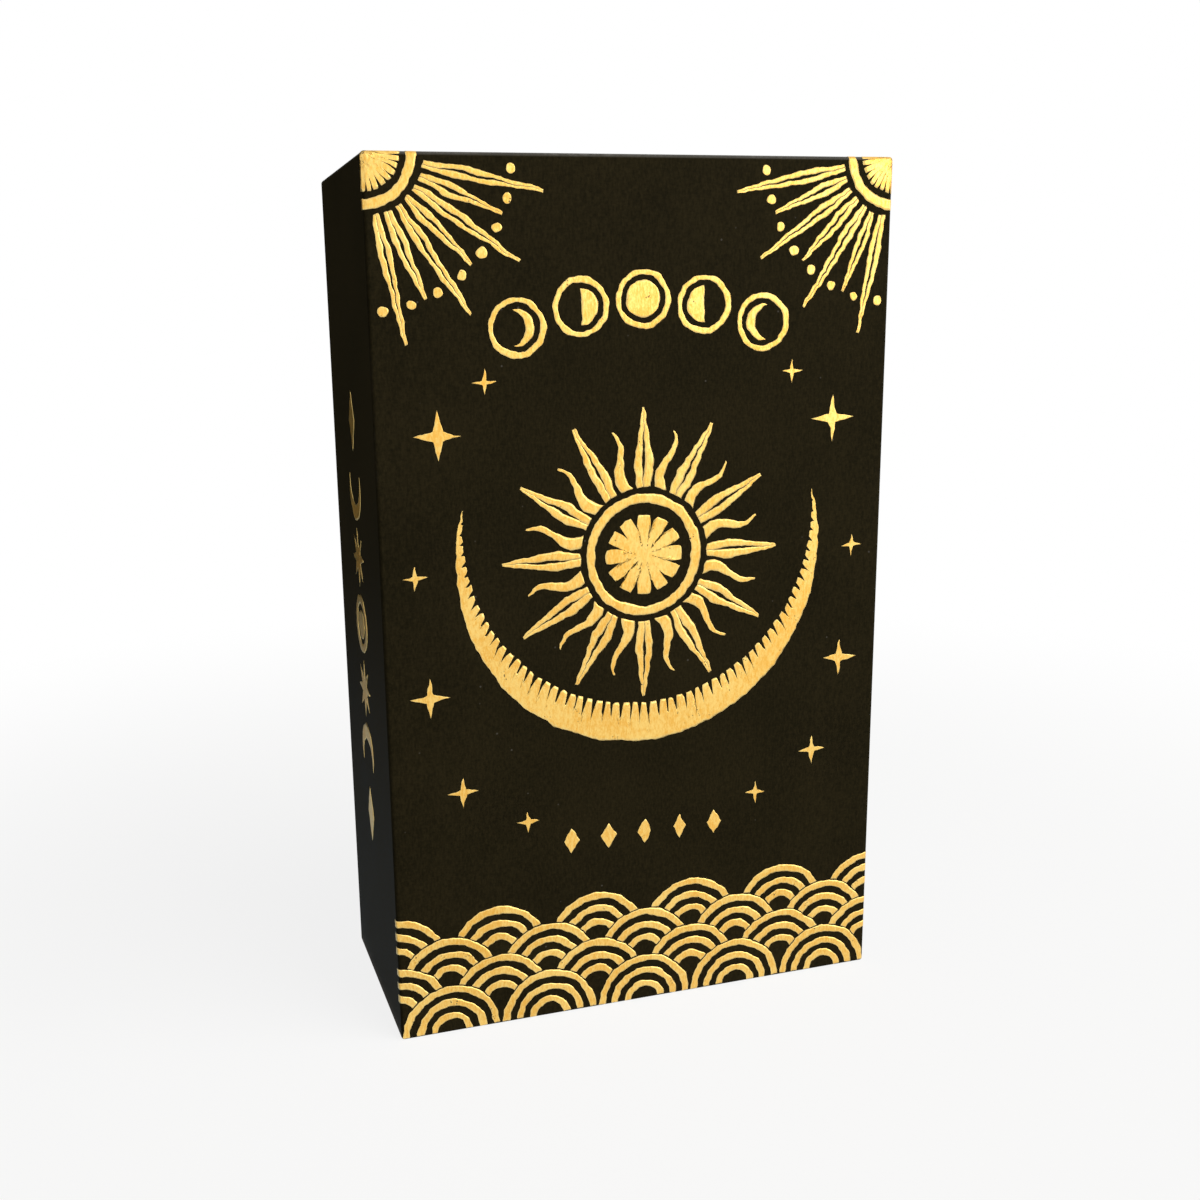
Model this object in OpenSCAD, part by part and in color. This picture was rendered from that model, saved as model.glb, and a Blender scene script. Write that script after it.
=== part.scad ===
// Rigid two-part box with a lift-off lid, holding a deck of tarot cards and a stitched guide booklet.
// All lengths are in millimetres. The box stands on its tail edge, with its front towards -Y,
// its spine towards -X, and its origin at the middle of the face that it stands on.

/* [Cards] */
// Width of one card
card_w = 70; // [56:1:90]
// Height of one card
card_h = 120; // [88:1:150]
// Thickness of one card
card_t = 0.35; // [0.25:0.01:0.6]
// Radius of a card's corners
card_corner_r = 3.5; // [1:0.5:8]
// Air between two cards of the stack
card_air = 0.01; // [0.005:0.005:0.05]

/* [Guide booklet] */
// How much the booklet is smaller than a card on each side
guide_inset = 1; // [0:0.5:4]
// Folded sheets inside the cover
guide_sheets = 8; // [2:1:12]
// Thickness of an inner sheet
guide_sheet_t = 0.1; // [0.08:0.01:0.2]
// Thickness of the cover sheet
guide_cover_t = 0.25; // [0.15:0.05:0.5]
// Air between two folded sheets
leaf_air = 0.01; // [0.005:0.005:0.03]
// Thickness of the staple wire
staple_wire = 0.5; // [0.3:0.05:0.8]
// Length of a staple's crown along the fold
staple_crown = 12; // [8:1:16]
// Distance of each staple's middle from the booklet's nearer end
staple_from_end = 30; // [12:1:40]
// Gap around a staple in the paper
staple_clearance = 0.05; // [0.03:0.01:0.1]

/* [Box] */
// Thickness of the greyboard panels
board_t = 1.5; // [1:0.1:3]
// Thickness of the wrapping paper
paper_t = 0.25; // [0.15:0.05:0.4]
// Thickness of the sheet that lines each panel inside
liner_t = 0.25; // [0.1:0.05:0.4]
// Gap between a lining sheet and the walls around it
liner_margin = 0.3; // [0.1:0.1:2]
// Depth of the tray's walls, its back panel included
tray_depth = 24; // [14:1:29]
// Radius of the folded outer edges
edge_r = 0.5; // [0.2:0.05:0.6]
// Width of the crease between two panels of the paper
crease = 0.02; // [0.01:0.01:0.05]
// Thickness of the tape that holds each corner of the boards
stay_t = 0.08; // [0.05:0.01:0.1]
// Length of each leg of a corner tape
stay_leg = 10; // [5:1:20]
// Distance of the corner tape from the rim
stay_margin = 1; // [0.5:0.5:4]

/* [Clearances] */
// Gap between the cards and the tray's walls
card_clearance = 0.65; // [0.4:0.05:2]
// Gap between the tray and the lid's walls
lid_clearance = 0.35; // [0.2:0.05:1]
// Gap between the booklet and the lid's lining
headroom = 0.8; // [0.4:0.1:3]
// Gap between two layers of the contents
layer_gap = 0.1; // [0.05:0.01:0.3]
// Gap under the cards and the booklet where they stand
seat_gap = 0.3; // [0.1:0.05:0.35]

/* [Foil stamping] */
// Thickness of the stamped foil
foil_t = 0.04; // [0.02:0.01:0.1]
// Width of the main foil lines
foil_line = 1.4; // [0.8:0.1:2]
// Gap between two neighbouring foil shapes
foil_gap = 0.9; // [0.5:0.1:1.5]
// Width of a ray's tip
foil_tip = 0.4; // [0.2:0.1:0.8]

/* [Foil sun and crescent] */
// Rise of the sun's centre above the middle of the front
sun_rise = 8; // [2:1:12]
// Radius of the ring round the sun's core
sun_disc_r = 9.2; // [6:0.1:11]
// Greatest width of the sun's straight rays
sun_ray_w = 3; // [2:0.1:3.4]
// Greatest width of the sun's wavy rays
sun_wave_w = 2; // [1:0.1:2.4]
// How much shorter the wavy rays are
sun_wave_short = 3; // [1:0.5:5]
// Gap between the crescent and the sides of the front
crescent_margin = 11; // [8:0.5:16]
// Width of the crescent at its middle
crescent_w = 6.1; // [3:0.1:8]
// Rise of the crescent's inner circle above the sun's centre
crescent_rise = 5; // [3:0.1:7]

/* [Foil moon phases] */
// Gap between the sun's top ray and the full moon
phase_gap = 11; // [4:0.5:13]
// Radius of a moon
phase_r = 4.2; // [3:0.1:5]
// Gap between two moons
phase_spacing = 1.1; // [0.5:0.1:2]
// Width of the line round a moon
phase_line = 0.8; // [0.5:0.1:1.1]
// Fall of the moons beside the full moon
phase_fall = 0.9; // [0:0.1:1.2]

/* [Foil corner fans] */
// Radius of the ring at a fan's corner
fan_inner_r = 7.5; // [5:0.1:9]
// Gap between a fan's rays and the outermost moon
fan_gap = 1.4; // [1:0.1:6]
// How much shorter every second ray is
fan_step = 5; // [2:0.5:8]
// Width of a ray's foot
fan_foot = 0.9; // [0.5:0.1:1.2]
// Gap between two rays where they are widest
fan_ray_gap = 0.4; // [0.3:0.1:1]
// Radius of the dots between the rays
fan_dot_r = 0.7; // [0.4:0.1:1]

/* [Foil waves and stars] */
// Radius of one wave scallop
wave_r = 8; // [6:0.5:10]
// Width of a wave line
wave_line = 1.1; // [0.7:0.1:1.6]
// Step from one line of a scallop to the next
wave_step = 2.2; // [1.8:0.1:2.4]
// Gap between two scallops
wave_gap = 0.2; // [0.1:0.05:0.4]
// Half height of a diamond in the row above the waves
diamond_r = 2; // [1:0.1:3]
// Half width of a diamond in that row
diamond_half_w = 1.2; // [0.6:0.1:1.6]
// Gap between two diamonds
diamond_spacing = 3.6; // [2:0.1:6]
// Gap between the waves and the diamonds
diamond_gap = 7; // [3:0.5:9]
// Reach of the smallest stars
small_star_r = 1.8; // [1:0.1:2.4]
// Gap between the outermost moon and the small star below it
moon_star_gap = 1.1; // [0.6:0.1:3]

/* [Foil spine and booklet] */
// Distance of the middle ornament below the middle of the spine
spine_drop = 3; // [0:0.5:8]
// Radius of an ornament on the spine
spine_ornament_r = 4.6; // [3:0.1:5]
// Gap between two ornaments on the spine
spine_ornament_gap = 1.3; // [0.8:0.1:3]
// Half width of the spine's diamonds
spine_diamond_half_w = 2.3; // [1.5:0.1:3]
// Width of the spine's crescents at their middle
spine_crescent_w = 2.4; // [1.5:0.1:3]
// Rise of the inner circle of the spine's crescents
spine_crescent_rise = 1.8; // [1:0.1:2.2]
// Radius of the ring on the booklet
emblem_r = 14; // [8:0.5:20]

/* [Hidden] */
major_count = 22;
suits = ["pentacles", "swords", "cups", "wands"];
suit_count = 14;
minor_count = len(suits) * suit_count;
card_count = major_count + minor_count;

card_pitch = card_t + card_air;
sheet_pitch = guide_sheet_t + leaf_air;
staple_channel = staple_wire + 2 * staple_clearance;
guide_w = card_w - 2 * guide_inset;
guide_h = card_h - 2 * guide_inset;
guide_r = staple_channel / 2 + guide_sheets * sheet_pitch + leaf_air + guide_cover_t;
guide_t = 2 * guide_r;

wall_t = paper_t + board_t + paper_t;
panel_t = paper_t + board_t + liner_t;
shell_t = wall_t + lid_clearance + wall_t;
box_w = card_w + 2 * (card_clearance + shell_t);
box_h = card_h + 2 * (card_clearance + shell_t);
box_d = 2 * panel_t + 2 * layer_gap + card_count * card_pitch + guide_t + headroom;
tray_inset = wall_t + lid_clearance;

// A half of the box is [width, height, depth], closed at y = 0 and open towards +y
lid = [box_w, box_h, box_d];
tray = [box_w - 2 * tray_inset, box_h - 2 * tray_inset, tray_depth];

// The paper stays thicker than nothing where it turns round the corner of the tape
edge_fillet = min(edge_r, 3.2 * (paper_t - stay_t));
edge_steps = 6;
corner_steps = 8;
fold_steps = 12;

front_y = -box_d / 2;
back_y = box_d / 2;
floor_y = back_y - panel_t;
deck_y = floor_y - layer_gap;
guide_y = deck_y - card_count * card_pitch - layer_gap - guide_r;
card_z = tray_inset + wall_t + seat_gap;
guide_z = wall_t + seat_gap;
guide_fold_x = -guide_w / 2 + guide_r;

crescent_r = box_w / 2 - crescent_margin;
sun_reach = crescent_r - crescent_w - foil_gap;
crescent_inner_r = sun_reach + foil_gap + crescent_rise;
sun_z = box_h / 2 + sun_rise;
sun_core_r = sun_disc_r - foil_line - 2 * foil_gap;
sun_ray_count = 24;

phase_step = 2 * phase_r + phase_spacing;
phase_z = sun_z + sun_reach + phase_gap + phase_r;
phase_inner_r = phase_r - 2 * phase_line;

fan_rays = 7;
fan_sweep = 90 / (fan_rays + 1);
fan_reach = norm([box_w / 2 - 2 * phase_step, box_h - phase_z + 4 * phase_fall]) - phase_r - fan_gap;

wave_rows = 4;
wave_rings = 3;
wave_top = (wave_rows + 1) * wave_r / 2;
diamonds = 5;
diamond_step = 2 * diamond_half_w + diamond_spacing;
diamond_z = wave_top + diamond_gap + diamond_r;

moon_star_z = phase_z - 4 * phase_fall - phase_r - moon_star_gap - small_star_r;

// Stars: distance from the side of the front, height above the sun's centre, reach
star_spots = [[9, 19, 3.6], [6.5, -19, 3], [11, -34, 2.4], [5, -1, small_star_r], [21, -40, small_star_r],
              [16, moon_star_z - sun_z, small_star_r]];
star_waist = 0.25;
emblem_waist = 0.4;
ray_belly = 0.3;
wavy_taper = 0.85;
wavy_sway = 1 / 3;

spine_z = box_h / 2 - spine_drop;
spine_ornament_step = 2 * spine_ornament_r + spine_ornament_gap;

function card_name(i) = str("major_card_", i < 10 ? "0" : "", i);
major_nodes = [for (i = [0 : major_count - 1]) card_name(i)];
suit_nodes = [for (suit = suits) str(suit, "_cards")];

// Points of an arc about a centre, from one angle to another
function arc(centre, r, from, to, steps) =
    [for (i = [0 : steps]) let (a = from + (to - from) * i / steps) centre + r * [cos(a), sin(a)]];

// Outline of a rectangle with four rounded corners, centred in x and standing on y = 0
function rounded_outline(w, h, r, steps) = concat(
    arc([w / 2 - r, r], r, -90, 0, steps),
    arc([w / 2 - r, h - r], r, 0, 90, steps),
    arc([-w / 2 + r, h - r], r, 90, 180, steps),
    arc([-w / 2 + r, r], r, 180, 270, steps));

// Section of a half of the box: two rounded corners at y = 0 and a square end at y = depth
function half_section(low, high, depth, r) = concat(
    arc([low + r, r], r, 180, 270, edge_steps),
    arc([high - r, r], r, 270, 360, edge_steps),
    [[high, depth], [low, depth]]);

// Swaps the two coordinates of each point of an outline
function swapped(points) = [for (p = points) [p[1], p[0]]];

// A block from its lowest corner to its highest
module block(low, high) {
    translate(low) cube(high - low);
}

// Turns an outline drawn in x and z into a plate that reaches from y towards -y
module plate(y, thickness) {
    translate([0, y, 0]) rotate([90, 0, 0]) linear_extrude(thickness) children();
}

// Puts the shapes of the lid and of the tray where they are in the closed box
module place_lid() {
    translate([0, front_y, 0]) children();
}

module place_tray() {
    translate([0, back_y, tray_inset]) mirror([0, 1, 0]) children();
}

// Outer form of a half, with its panel edges and its four corners folded round
module half_form(half) {
    w = half[0];
    h = half[1];
    d = half[2];
    intersection() {
        plate(d, d) polygon(rounded_outline(w, h, edge_fillet, edge_steps));
        linear_extrude(h) polygon(half_section(-w / 2, w / 2, d, edge_fillet));
        translate([-w / 2, 0, 0]) rotate([90, 0, 90]) linear_extrude(w)
            polygon(swapped(half_section(0, h, d, edge_fillet)));
    }
}

// Greyboard of the closed face
module panel_board(half) {
    x = half[0] / 2 - paper_t;
    block([-x, paper_t, paper_t], [x, paper_t + board_t, half[1] - paper_t]);
}

// Greyboard of the wall on the spine side; the fore side is its mirror image
module spine_board(half) {
    x = -half[0] / 2 + paper_t;
    block([x, paper_t + board_t, paper_t], [x + board_t, half[2] - paper_t, half[1] - paper_t]);
}

module fore_board(half) {
    mirror([1, 0, 0]) spine_board(half);
}

// Greyboard of the wall at the tail; the head wall is the same board at the other end
module tail_board(half) {
    x = half[0] / 2 - wall_t;
    block([-x, paper_t + board_t, paper_t], [x, half[2] - paper_t, paper_t + board_t]);
}

module head_board(half) {
    translate([0, 0, half[1]]) mirror([0, 0, 1]) tail_board(half);
}

// Repeats a shape at the four corners of a half
module at_corners(half) {
    for (side = [0, 1], end = [0, 1])
        translate([0, 0, end * half[1]]) mirror([0, 0, end]) mirror([side, 0, 0]) children();
}

// Tape folded round each corner of the boards, under the paper
module corner_stays(half) {
    x = -half[0] / 2 + paper_t;
    from_y = paper_t + board_t + stay_margin;
    to_y = half[2] - paper_t - stay_margin;
    at_corners(half) difference() {
        block([x - stay_t, from_y, paper_t - stay_t], [x + stay_leg, to_y, paper_t + stay_leg]);
        block([x, from_y - 1, paper_t], [x + stay_leg + 1, to_y + 1, paper_t + stay_leg + 1]);
    }
}

// All that lies inside the wrapping paper of a half
module wrapped_boards(half) {
    panel_board(half);
    spine_board(half);
    fore_board(half);
    tail_board(half);
    head_board(half);
    corner_stays(half);
}

// Space of one of the five panels of the paper: 0 panel, 1 spine, 2 fore, 3 tail, 4 head
module paper_panel(half, panel) {
    x = half[0] / 2;
    h = half[1];
    d = half[2];
    if (panel == 0) block([-x, 0, 0], [x, paper_t, h]);
    y = paper_t + crease;
    end = x - wall_t - crease;
    if (panel == 1) block([-x, y, 0], [-x + wall_t, d, h]);
    if (panel == 2) block([x - wall_t, y, 0], [x, d, h]);
    if (panel == 3) block([-end, y, 0], [end, d, wall_t]);
    if (panel == 4) block([-end, y, h - wall_t], [end, d, h]);
}

// Paper over the outside of a half, round its rim and down the inside of its walls, creased at the folds
module wrap(half) {
    for (panel = [0 : 4]) difference() {
        intersection() {
            half_form(half);
            paper_panel(half, panel);
        }
        wrapped_boards(half);
    }
}

// Sheet pasted over the panel inside a half
module liner(half) {
    inset = wall_t + liner_margin;
    y = paper_t + board_t;
    block([-half[0] / 2 + inset, y, inset], [half[0] / 2 - inset, y + liner_t, half[1] - inset]);
}

// Lid
module lid_wrap() {
    color([0.17, 0.145, 0.1]) place_lid() wrap(lid);
}

module lid_front_board() {
    color([0.55, 0.53, 0.5]) place_lid() panel_board(lid);
}

module lid_spine_board() {
    color([0.55, 0.53, 0.5]) place_lid() spine_board(lid);
}

module lid_fore_board() {
    color([0.55, 0.53, 0.5]) place_lid() fore_board(lid);
}

module lid_head_board() {
    color([0.55, 0.53, 0.5]) place_lid() head_board(lid);
}

module lid_tail_board() {
    color([0.55, 0.53, 0.5]) place_lid() tail_board(lid);
}

module lid_corner_stays() {
    color([0.72, 0.6, 0.42]) place_lid() corner_stays(lid);
}

module lid_liner() {
    color([0.12, 0.11, 0.1]) place_lid() liner(lid);
}

// Tray
module tray_wrap() {
    color([0.17, 0.145, 0.1]) place_tray() wrap(tray);
}

module tray_back_board() {
    color([0.55, 0.53, 0.5]) place_tray() panel_board(tray);
}

module tray_spine_board() {
    color([0.55, 0.53, 0.5]) place_tray() spine_board(tray);
}

module tray_fore_board() {
    color([0.55, 0.53, 0.5]) place_tray() fore_board(tray);
}

module tray_head_board() {
    color([0.55, 0.53, 0.5]) place_tray() head_board(tray);
}

module tray_tail_board() {
    color([0.55, 0.53, 0.5]) place_tray() tail_board(tray);
}

module tray_corner_stays() {
    color([0.72, 0.6, 0.42]) place_tray() corner_stays(tray);
}

module tray_liner() {
    color([0.12, 0.11, 0.1]) place_tray() liner(tray);
}

// Flat shapes of the foil, drawn in x and z
module ring(outer, line) {
    difference() {
        circle(outer, $fn = 96);
        circle(outer - line, $fn = 96);
    }
}

module star(points, reach, waist) {
    polygon([for (i = [0 : 2 * points - 1])
        let (r = i % 2 == 0 ? reach : waist, a = 90 + 180 * i / points) r * [cos(a), sin(a)]]);
}

module crescent(r, inner_r, rise) {
    difference() {
        circle(r, $fn = 96);
        translate([0, rise]) circle(inner_r, $fn = 96);
    }
}

module diamond(half_w, half_h) {
    polygon([[0, half_h], [half_w, 0], [0, -half_h], [-half_w, 0]]);
}

// Radius at which a ray between two radii is widest
function belly(from, to) = from + ray_belly * (to - from);

// A straight ray along +x, from one radius to another, that swells from its foot and narrows to its tip
module ray(from, to, foot, line) {
    belly = belly(from, to);
    polygon([[from, -foot / 2], [belly, -line / 2], [to, -foil_tip / 2],
             [to, foil_tip / 2], [belly, line / 2], [from, foot / 2]]);
}

// A wavy ray that sways to each side once and narrows to its tip
module wavy_ray(from, to, line) {
    function middle(t) = [from + (to - from) * t, line * wavy_sway * sin(360 * t)];
    function half_line(t) = [0, line / 2 * (1 - wavy_taper * t)];
    polygon(concat(
        [for (i = [0 : fold_steps]) middle(i / fold_steps) + half_line(i / fold_steps)],
        [for (i = [fold_steps : -1 : 0]) middle(i / fold_steps) - half_line(i / fold_steps)]));
}

// Presses flat shapes on to the front, kept clear of the folded edges
module stamp_front() {
    color([0.93, 0.76, 0.36]) plate(front_y, foil_t) intersection() {
        translate([-box_w / 2 + edge_fillet, edge_fillet])
            square([box_w - 2 * edge_fillet, box_h - 2 * edge_fillet]);
        children();
    }
}

module foil_sun() {
    from = sun_disc_r + foil_gap;
    stamp_front() translate([0, sun_z]) {
        circle(sun_core_r, $fn = 96);
        ring(sun_disc_r, foil_line);
        for (i = [0 : sun_ray_count - 1]) rotate(360 * i / sun_ray_count) {
            if (i % 2 == 0) ray(from, sun_reach, sun_wave_w, sun_ray_w);
            else wavy_ray(from, sun_reach - sun_wave_short, sun_wave_w);
        }
    }
}

module foil_crescent() {
    stamp_front() translate([0, sun_z]) crescent(crescent_r, crescent_inner_r, crescent_rise);
}

// Waxing crescent, half moon, full moon, half moon and waning crescent
module foil_moon_phases() {
    stamp_front() translate([0, phase_z]) {
        for (i = [-2 : 2]) translate([i * phase_step, -i * i * phase_fall]) ring(phase_r, phase_line);
        circle(phase_inner_r, $fn = 96);
        for (side = [-1, 1]) {
            translate([side * phase_step, -phase_fall]) intersection() {
                circle(phase_inner_r, $fn = 96);
                translate([side > 0 ? -phase_r : 0, -phase_r]) square([phase_r, 2 * phase_r]);
            }
            translate([2 * side * phase_step, -4 * phase_fall]) rotate(-side * 90)
                crescent(phase_inner_r, phase_inner_r, phase_inner_r / 2);
        }
    }
}

module foil_corner_fans() {
    from = fan_inner_r + foil_gap;
    short = fan_reach - fan_step;
    line = 2 * belly(from, short) * tan(fan_sweep / 2) - fan_ray_gap;
    stamp_front() for (side = [0, 1]) mirror([side, 0]) translate([-box_w / 2, box_h]) {
        ring(fan_inner_r, foil_line);
        circle(fan_inner_r - foil_line - foil_gap, $fn = 96);
        for (i = [1 : fan_rays]) rotate(-fan_sweep * i)
            ray(from, i % 2 == 0 ? short : fan_reach, fan_foot, line);
        for (i = [0 : fan_rays]) rotate(-fan_sweep * (i + 0.5)) translate([short, 0])
            circle(fan_dot_r, $fn = 32);
    }
}

// Upper half of the rings of one scallop, cut off where the two scallops beside and below it cover it
module scallop(covered) {
    difference() {
        for (i = [0 : wave_rings - 1]) ring(wave_r - wave_gap - i * wave_step, wave_line);
        translate([-wave_r, -wave_r]) square([2 * wave_r, wave_r]);
        if (covered) for (side = [-1, 1]) translate([side * wave_r, -wave_r / 2]) circle(wave_r, $fn = 96);
    }
}

// Rows of scallops along the tail, each row half a radius above the last and half a scallop aside
module foil_waves() {
    count = ceil(box_w / 2 / wave_r) + 1;
    stamp_front() for (row = [0 : wave_rows - 1], i = [-count : count])
        if ((i + row) % 2 == 0) translate([i * wave_r, row * wave_r / 2]) scallop(row > 0);
}

module foil_stars() {
    stamp_front() {
        for (spot = star_spots, side = [-1, 1])
            translate([side * (box_w / 2 - spot[0]), sun_z + spot[1]]) star(4, spot[2], spot[2] * star_waist);
        for (i = [0 : diamonds - 1])
            translate([(i - (diamonds - 1) / 2) * diamond_step, diamond_z])
                diamond(diamond_half_w, diamond_r);
    }
}

// A column of ornaments down the middle of the spine
module foil_spine() {
    crescent_inner_r = spine_ornament_r - spine_crescent_w + spine_crescent_rise;
    color([0.86, 0.74, 0.45]) translate([-box_w / 2, 0, 0]) rotate([90, 0, -90]) linear_extrude(foil_t)
        translate([0, spine_z]) {
            ring(spine_ornament_r, foil_line);
            circle(spine_ornament_r - foil_line - foil_gap, $fn = 96);
            for (side = [-1, 1]) {
                translate([0, side * spine_ornament_step])
                    star(8, spine_ornament_r, spine_ornament_r * emblem_waist);
                translate([0, 2 * side * spine_ornament_step]) rotate(90 - 90 * side)
                    crescent(spine_ornament_r, crescent_inner_r, spine_crescent_rise);
                translate([0, 3 * side * spine_ornament_step])
                    diamond(spine_diamond_half_w, spine_ornament_r);
            }
        }
}

// One folded sheet of the booklet, from its inner radius at the fold to its outer one
module folded_sheet(inner, outer) {
    end = guide_w - guide_r;
    translate([guide_fold_x, guide_y, guide_z]) linear_extrude(guide_h) polygon(concat(
        [[end, outer]], arc([0, 0], outer, 90, 270, fold_steps), [[end, -outer], [end, -inner]],
        arc([0, 0], inner, 270, 90, fold_steps), [[end, inner]]));
}

// A staple: crown on the fold, two legs through it and two ends bent together inside
module staple(grow) {
    half = staple_wire / 2 + grow;
    crown = staple_crown / 2;
    inside = staple_wire * 1.5;
    block([-guide_r - staple_wire, -half, -crown - grow], [-guide_r, half, crown + grow]);
    for (end = [0, 1]) mirror([0, 0, end]) {
        block([-guide_r - staple_wire, -half, crown - staple_wire - grow], [inside, half, crown + grow]);
        block([inside - staple_wire, -half, staple_wire], [inside, half, crown]);
    }
}

module staples(grow) {
    for (z = [staple_from_end, guide_h - staple_from_end])
        translate([guide_fold_x, guide_y, guide_z + z]) staple(grow);
}

module guide_cover() {
    color([0.13, 0.12, 0.11]) difference() {
        folded_sheet(guide_r - guide_cover_t, guide_r);
        staples(staple_clearance);
    }
}

module guide_sheets() {
    color([0.93, 0.91, 0.86]) for (i = [0 : guide_sheets - 1]) {
        inner = staple_channel / 2 + i * sheet_pitch;
        difference() {
            folded_sheet(inner, inner + guide_sheet_t);
            staples(staple_clearance);
        }
    }
}

module guide_staples() {
    color([0.75, 0.75, 0.76]) staples(0);
}

module guide_emblem() {
    color([0.93, 0.76, 0.36]) plate(guide_y - guide_r, foil_t) translate([0, guide_z + guide_h / 2]) {
        reach = emblem_r - 2 * foil_line;
        ring(emblem_r, foil_line);
        star(8, reach, reach * emblem_waist);
    }
}

// The card that lies i cards from the tray's floor
module card(i) {
    color([0.1, 0.09, 0.08]) plate(deck_y - i * card_pitch, card_t) translate([0, card_z])
        polygon(rounded_outline(card_w, card_h, card_corner_r, corner_steps));
}

// The major cards lie in front, with the first of them on top
module major_card(number) {
    card(card_count - 1 - number);
}

module suit_cards(suit) {
    for (i = [0 : suit_count - 1]) card(suit * suit_count + i);
}

lid_wrap();
lid_front_board();
lid_spine_board();
lid_fore_board();
lid_head_board();
lid_tail_board();
lid_corner_stays();
lid_liner();
foil_sun();
foil_crescent();
foil_moon_phases();
foil_corner_fans();
foil_waves();
foil_stars();
foil_spine();
tray_wrap();
tray_back_board();
tray_spine_board();
tray_fore_board();
tray_head_board();
tray_tail_board();
tray_corner_stays();
tray_liner();
guide_cover();
guide_sheets();
guide_staples();
guide_emblem();
for (i = [0 : major_count - 1]) major_card(i);
for (i = [0 : len(suits) - 1]) suit_cards(i);
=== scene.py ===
import math

import bmesh
import bpy
import numpy as np
from mathutils import Matrix, Vector


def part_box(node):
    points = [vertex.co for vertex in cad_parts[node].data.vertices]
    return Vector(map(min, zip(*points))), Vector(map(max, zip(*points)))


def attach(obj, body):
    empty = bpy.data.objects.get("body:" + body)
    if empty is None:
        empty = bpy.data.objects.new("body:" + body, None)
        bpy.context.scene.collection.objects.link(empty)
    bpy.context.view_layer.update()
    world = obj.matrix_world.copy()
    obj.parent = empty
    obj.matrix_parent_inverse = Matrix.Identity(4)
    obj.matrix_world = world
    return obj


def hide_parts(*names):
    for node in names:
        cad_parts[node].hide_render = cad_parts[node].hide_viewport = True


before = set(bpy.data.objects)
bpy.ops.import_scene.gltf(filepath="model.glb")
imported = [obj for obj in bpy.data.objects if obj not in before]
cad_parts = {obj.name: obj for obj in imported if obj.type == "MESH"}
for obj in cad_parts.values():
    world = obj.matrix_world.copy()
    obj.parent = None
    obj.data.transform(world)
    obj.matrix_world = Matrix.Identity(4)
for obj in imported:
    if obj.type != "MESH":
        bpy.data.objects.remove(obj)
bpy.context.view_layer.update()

MM = 0.001
QUARTER = math.pi / 2
FULL = 2 * math.pi
MERGE = 1e-7

# Camera: where it stands, how it is turned (degrees) and how it is framed, in pixels of a square picture
PICTURE = 1200
CAMERA_PLACE = Vector((-72.491, -196.381, 106.733)) * MM
CAMERA_YAW = 15.984
CAMERA_PITCH = 12.645
CAMERA_ROLL = 1.437
FOCAL_PIXELS = 1296.0
AXIS_PIXEL = (507.8, 618.0)
SENSOR = 36.0
CLIP_START = 0.01

# Box: sizes that come from the solids
lid_low, lid_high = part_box("lid_wrap")
tray_low, tray_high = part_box("tray_wrap")
board_low, board_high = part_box("lid_front_board")
PAPER = board_low.y - lid_low.y
BOARD = board_high.y - board_low.y
WALL = PAPER + BOARD + PAPER
HALF_W = (lid_high.x - lid_low.x) / 2
BOX_H = lid_high.z - lid_low.z
BOX_D = lid_high.y - lid_low.y
FRONT = lid_low.y

# Paper: folds, rims and the slight crown of a panel that was glued under tension
FOLD_R = 0.5 * MM
FOLD_STEPS = 8
CORNER_STEPS = 5
RIM_R = 0.4 * MM
INNER_R = 0.2 * MM
CROWN = 0.2 * MM

# Paper: where its section and its sides have points, closer together near a fold
PANEL_EDGE = 4 * MM
PANEL_STEPS = 8
PANEL_INSETS = np.array([2.2, 1.2, 0.8, 0.6]) * MM
WALL_NEAR_FOLD = np.array([0.1, 0.3, 0.8, 1.8]) * MM
WALL_SHARES = np.linspace(0.2, 0.8, 5)
WALL_NEAR_RIM = np.array([1.2, 0.3, 0.1]) * MM
INSIDE_NEAR_RIM = 0.2 * MM
INSIDE_STEPS = 6
UNDER_START = 1.5 * PAPER
UNDER_STEPS = 4
SIDE_MIDDLE = np.linspace(-0.95, 0.95, 14)
SIDE_END = np.array([0.985, 0.997, 1])

# Foil: thickness, how deep it is pressed in, how far it runs over a fold, and its usual line and gap
FOIL = 0.04 * MM
PRESSED = 0.02 * MM
BLEED = 0.9 * MM
TAIL_EDGE = 0.3 * MM
LINE = 1.4 * MM
GAP = 0.9 * MM
TIP = 0.4 * MM

# Foil: how its hand-cut edges wander, as wave lengths and sways, with a few directions for each
WANDER = ((0.55 * MM, 0.012 * MM), (1.1 * MM, 0.03 * MM), (2.1 * MM, 0.05 * MM), (4.7 * MM, 0.07 * MM))
WANDER_WAYS = 3
WANDER_SEED = 11

# Foil: spacing of its points, and the fewest that a line, a ray, a disc and a star take across
FOIL_STEP = 0.22 * MM
LINE_POINTS = 6
RAY_POINTS = 5
DISC_POINTS = 9
STAR_POINTS = 17

# Foil: engraved cuts. A taper says how narrow a wedge is; a slit opens at the third of its shares of a ray
NOTCH_TAPER = 6
TOOTH_TAPER = 5
SLIT_SHARES = (0, 0.12, 0.34, 0.8, 1)
SLIT_HAIR = 0.02 * MM
SLIT_TIP = 0.01 * MM
HORN_END = 0.99
HALF_MOON_EDGE = 0.02

# Rays: where they are widest, and how a wavy one narrows and sways
RAY_BELLY = 0.3
WAVY_TAPER = 0.85
WAVY_SWAY = 1 / 3

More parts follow.
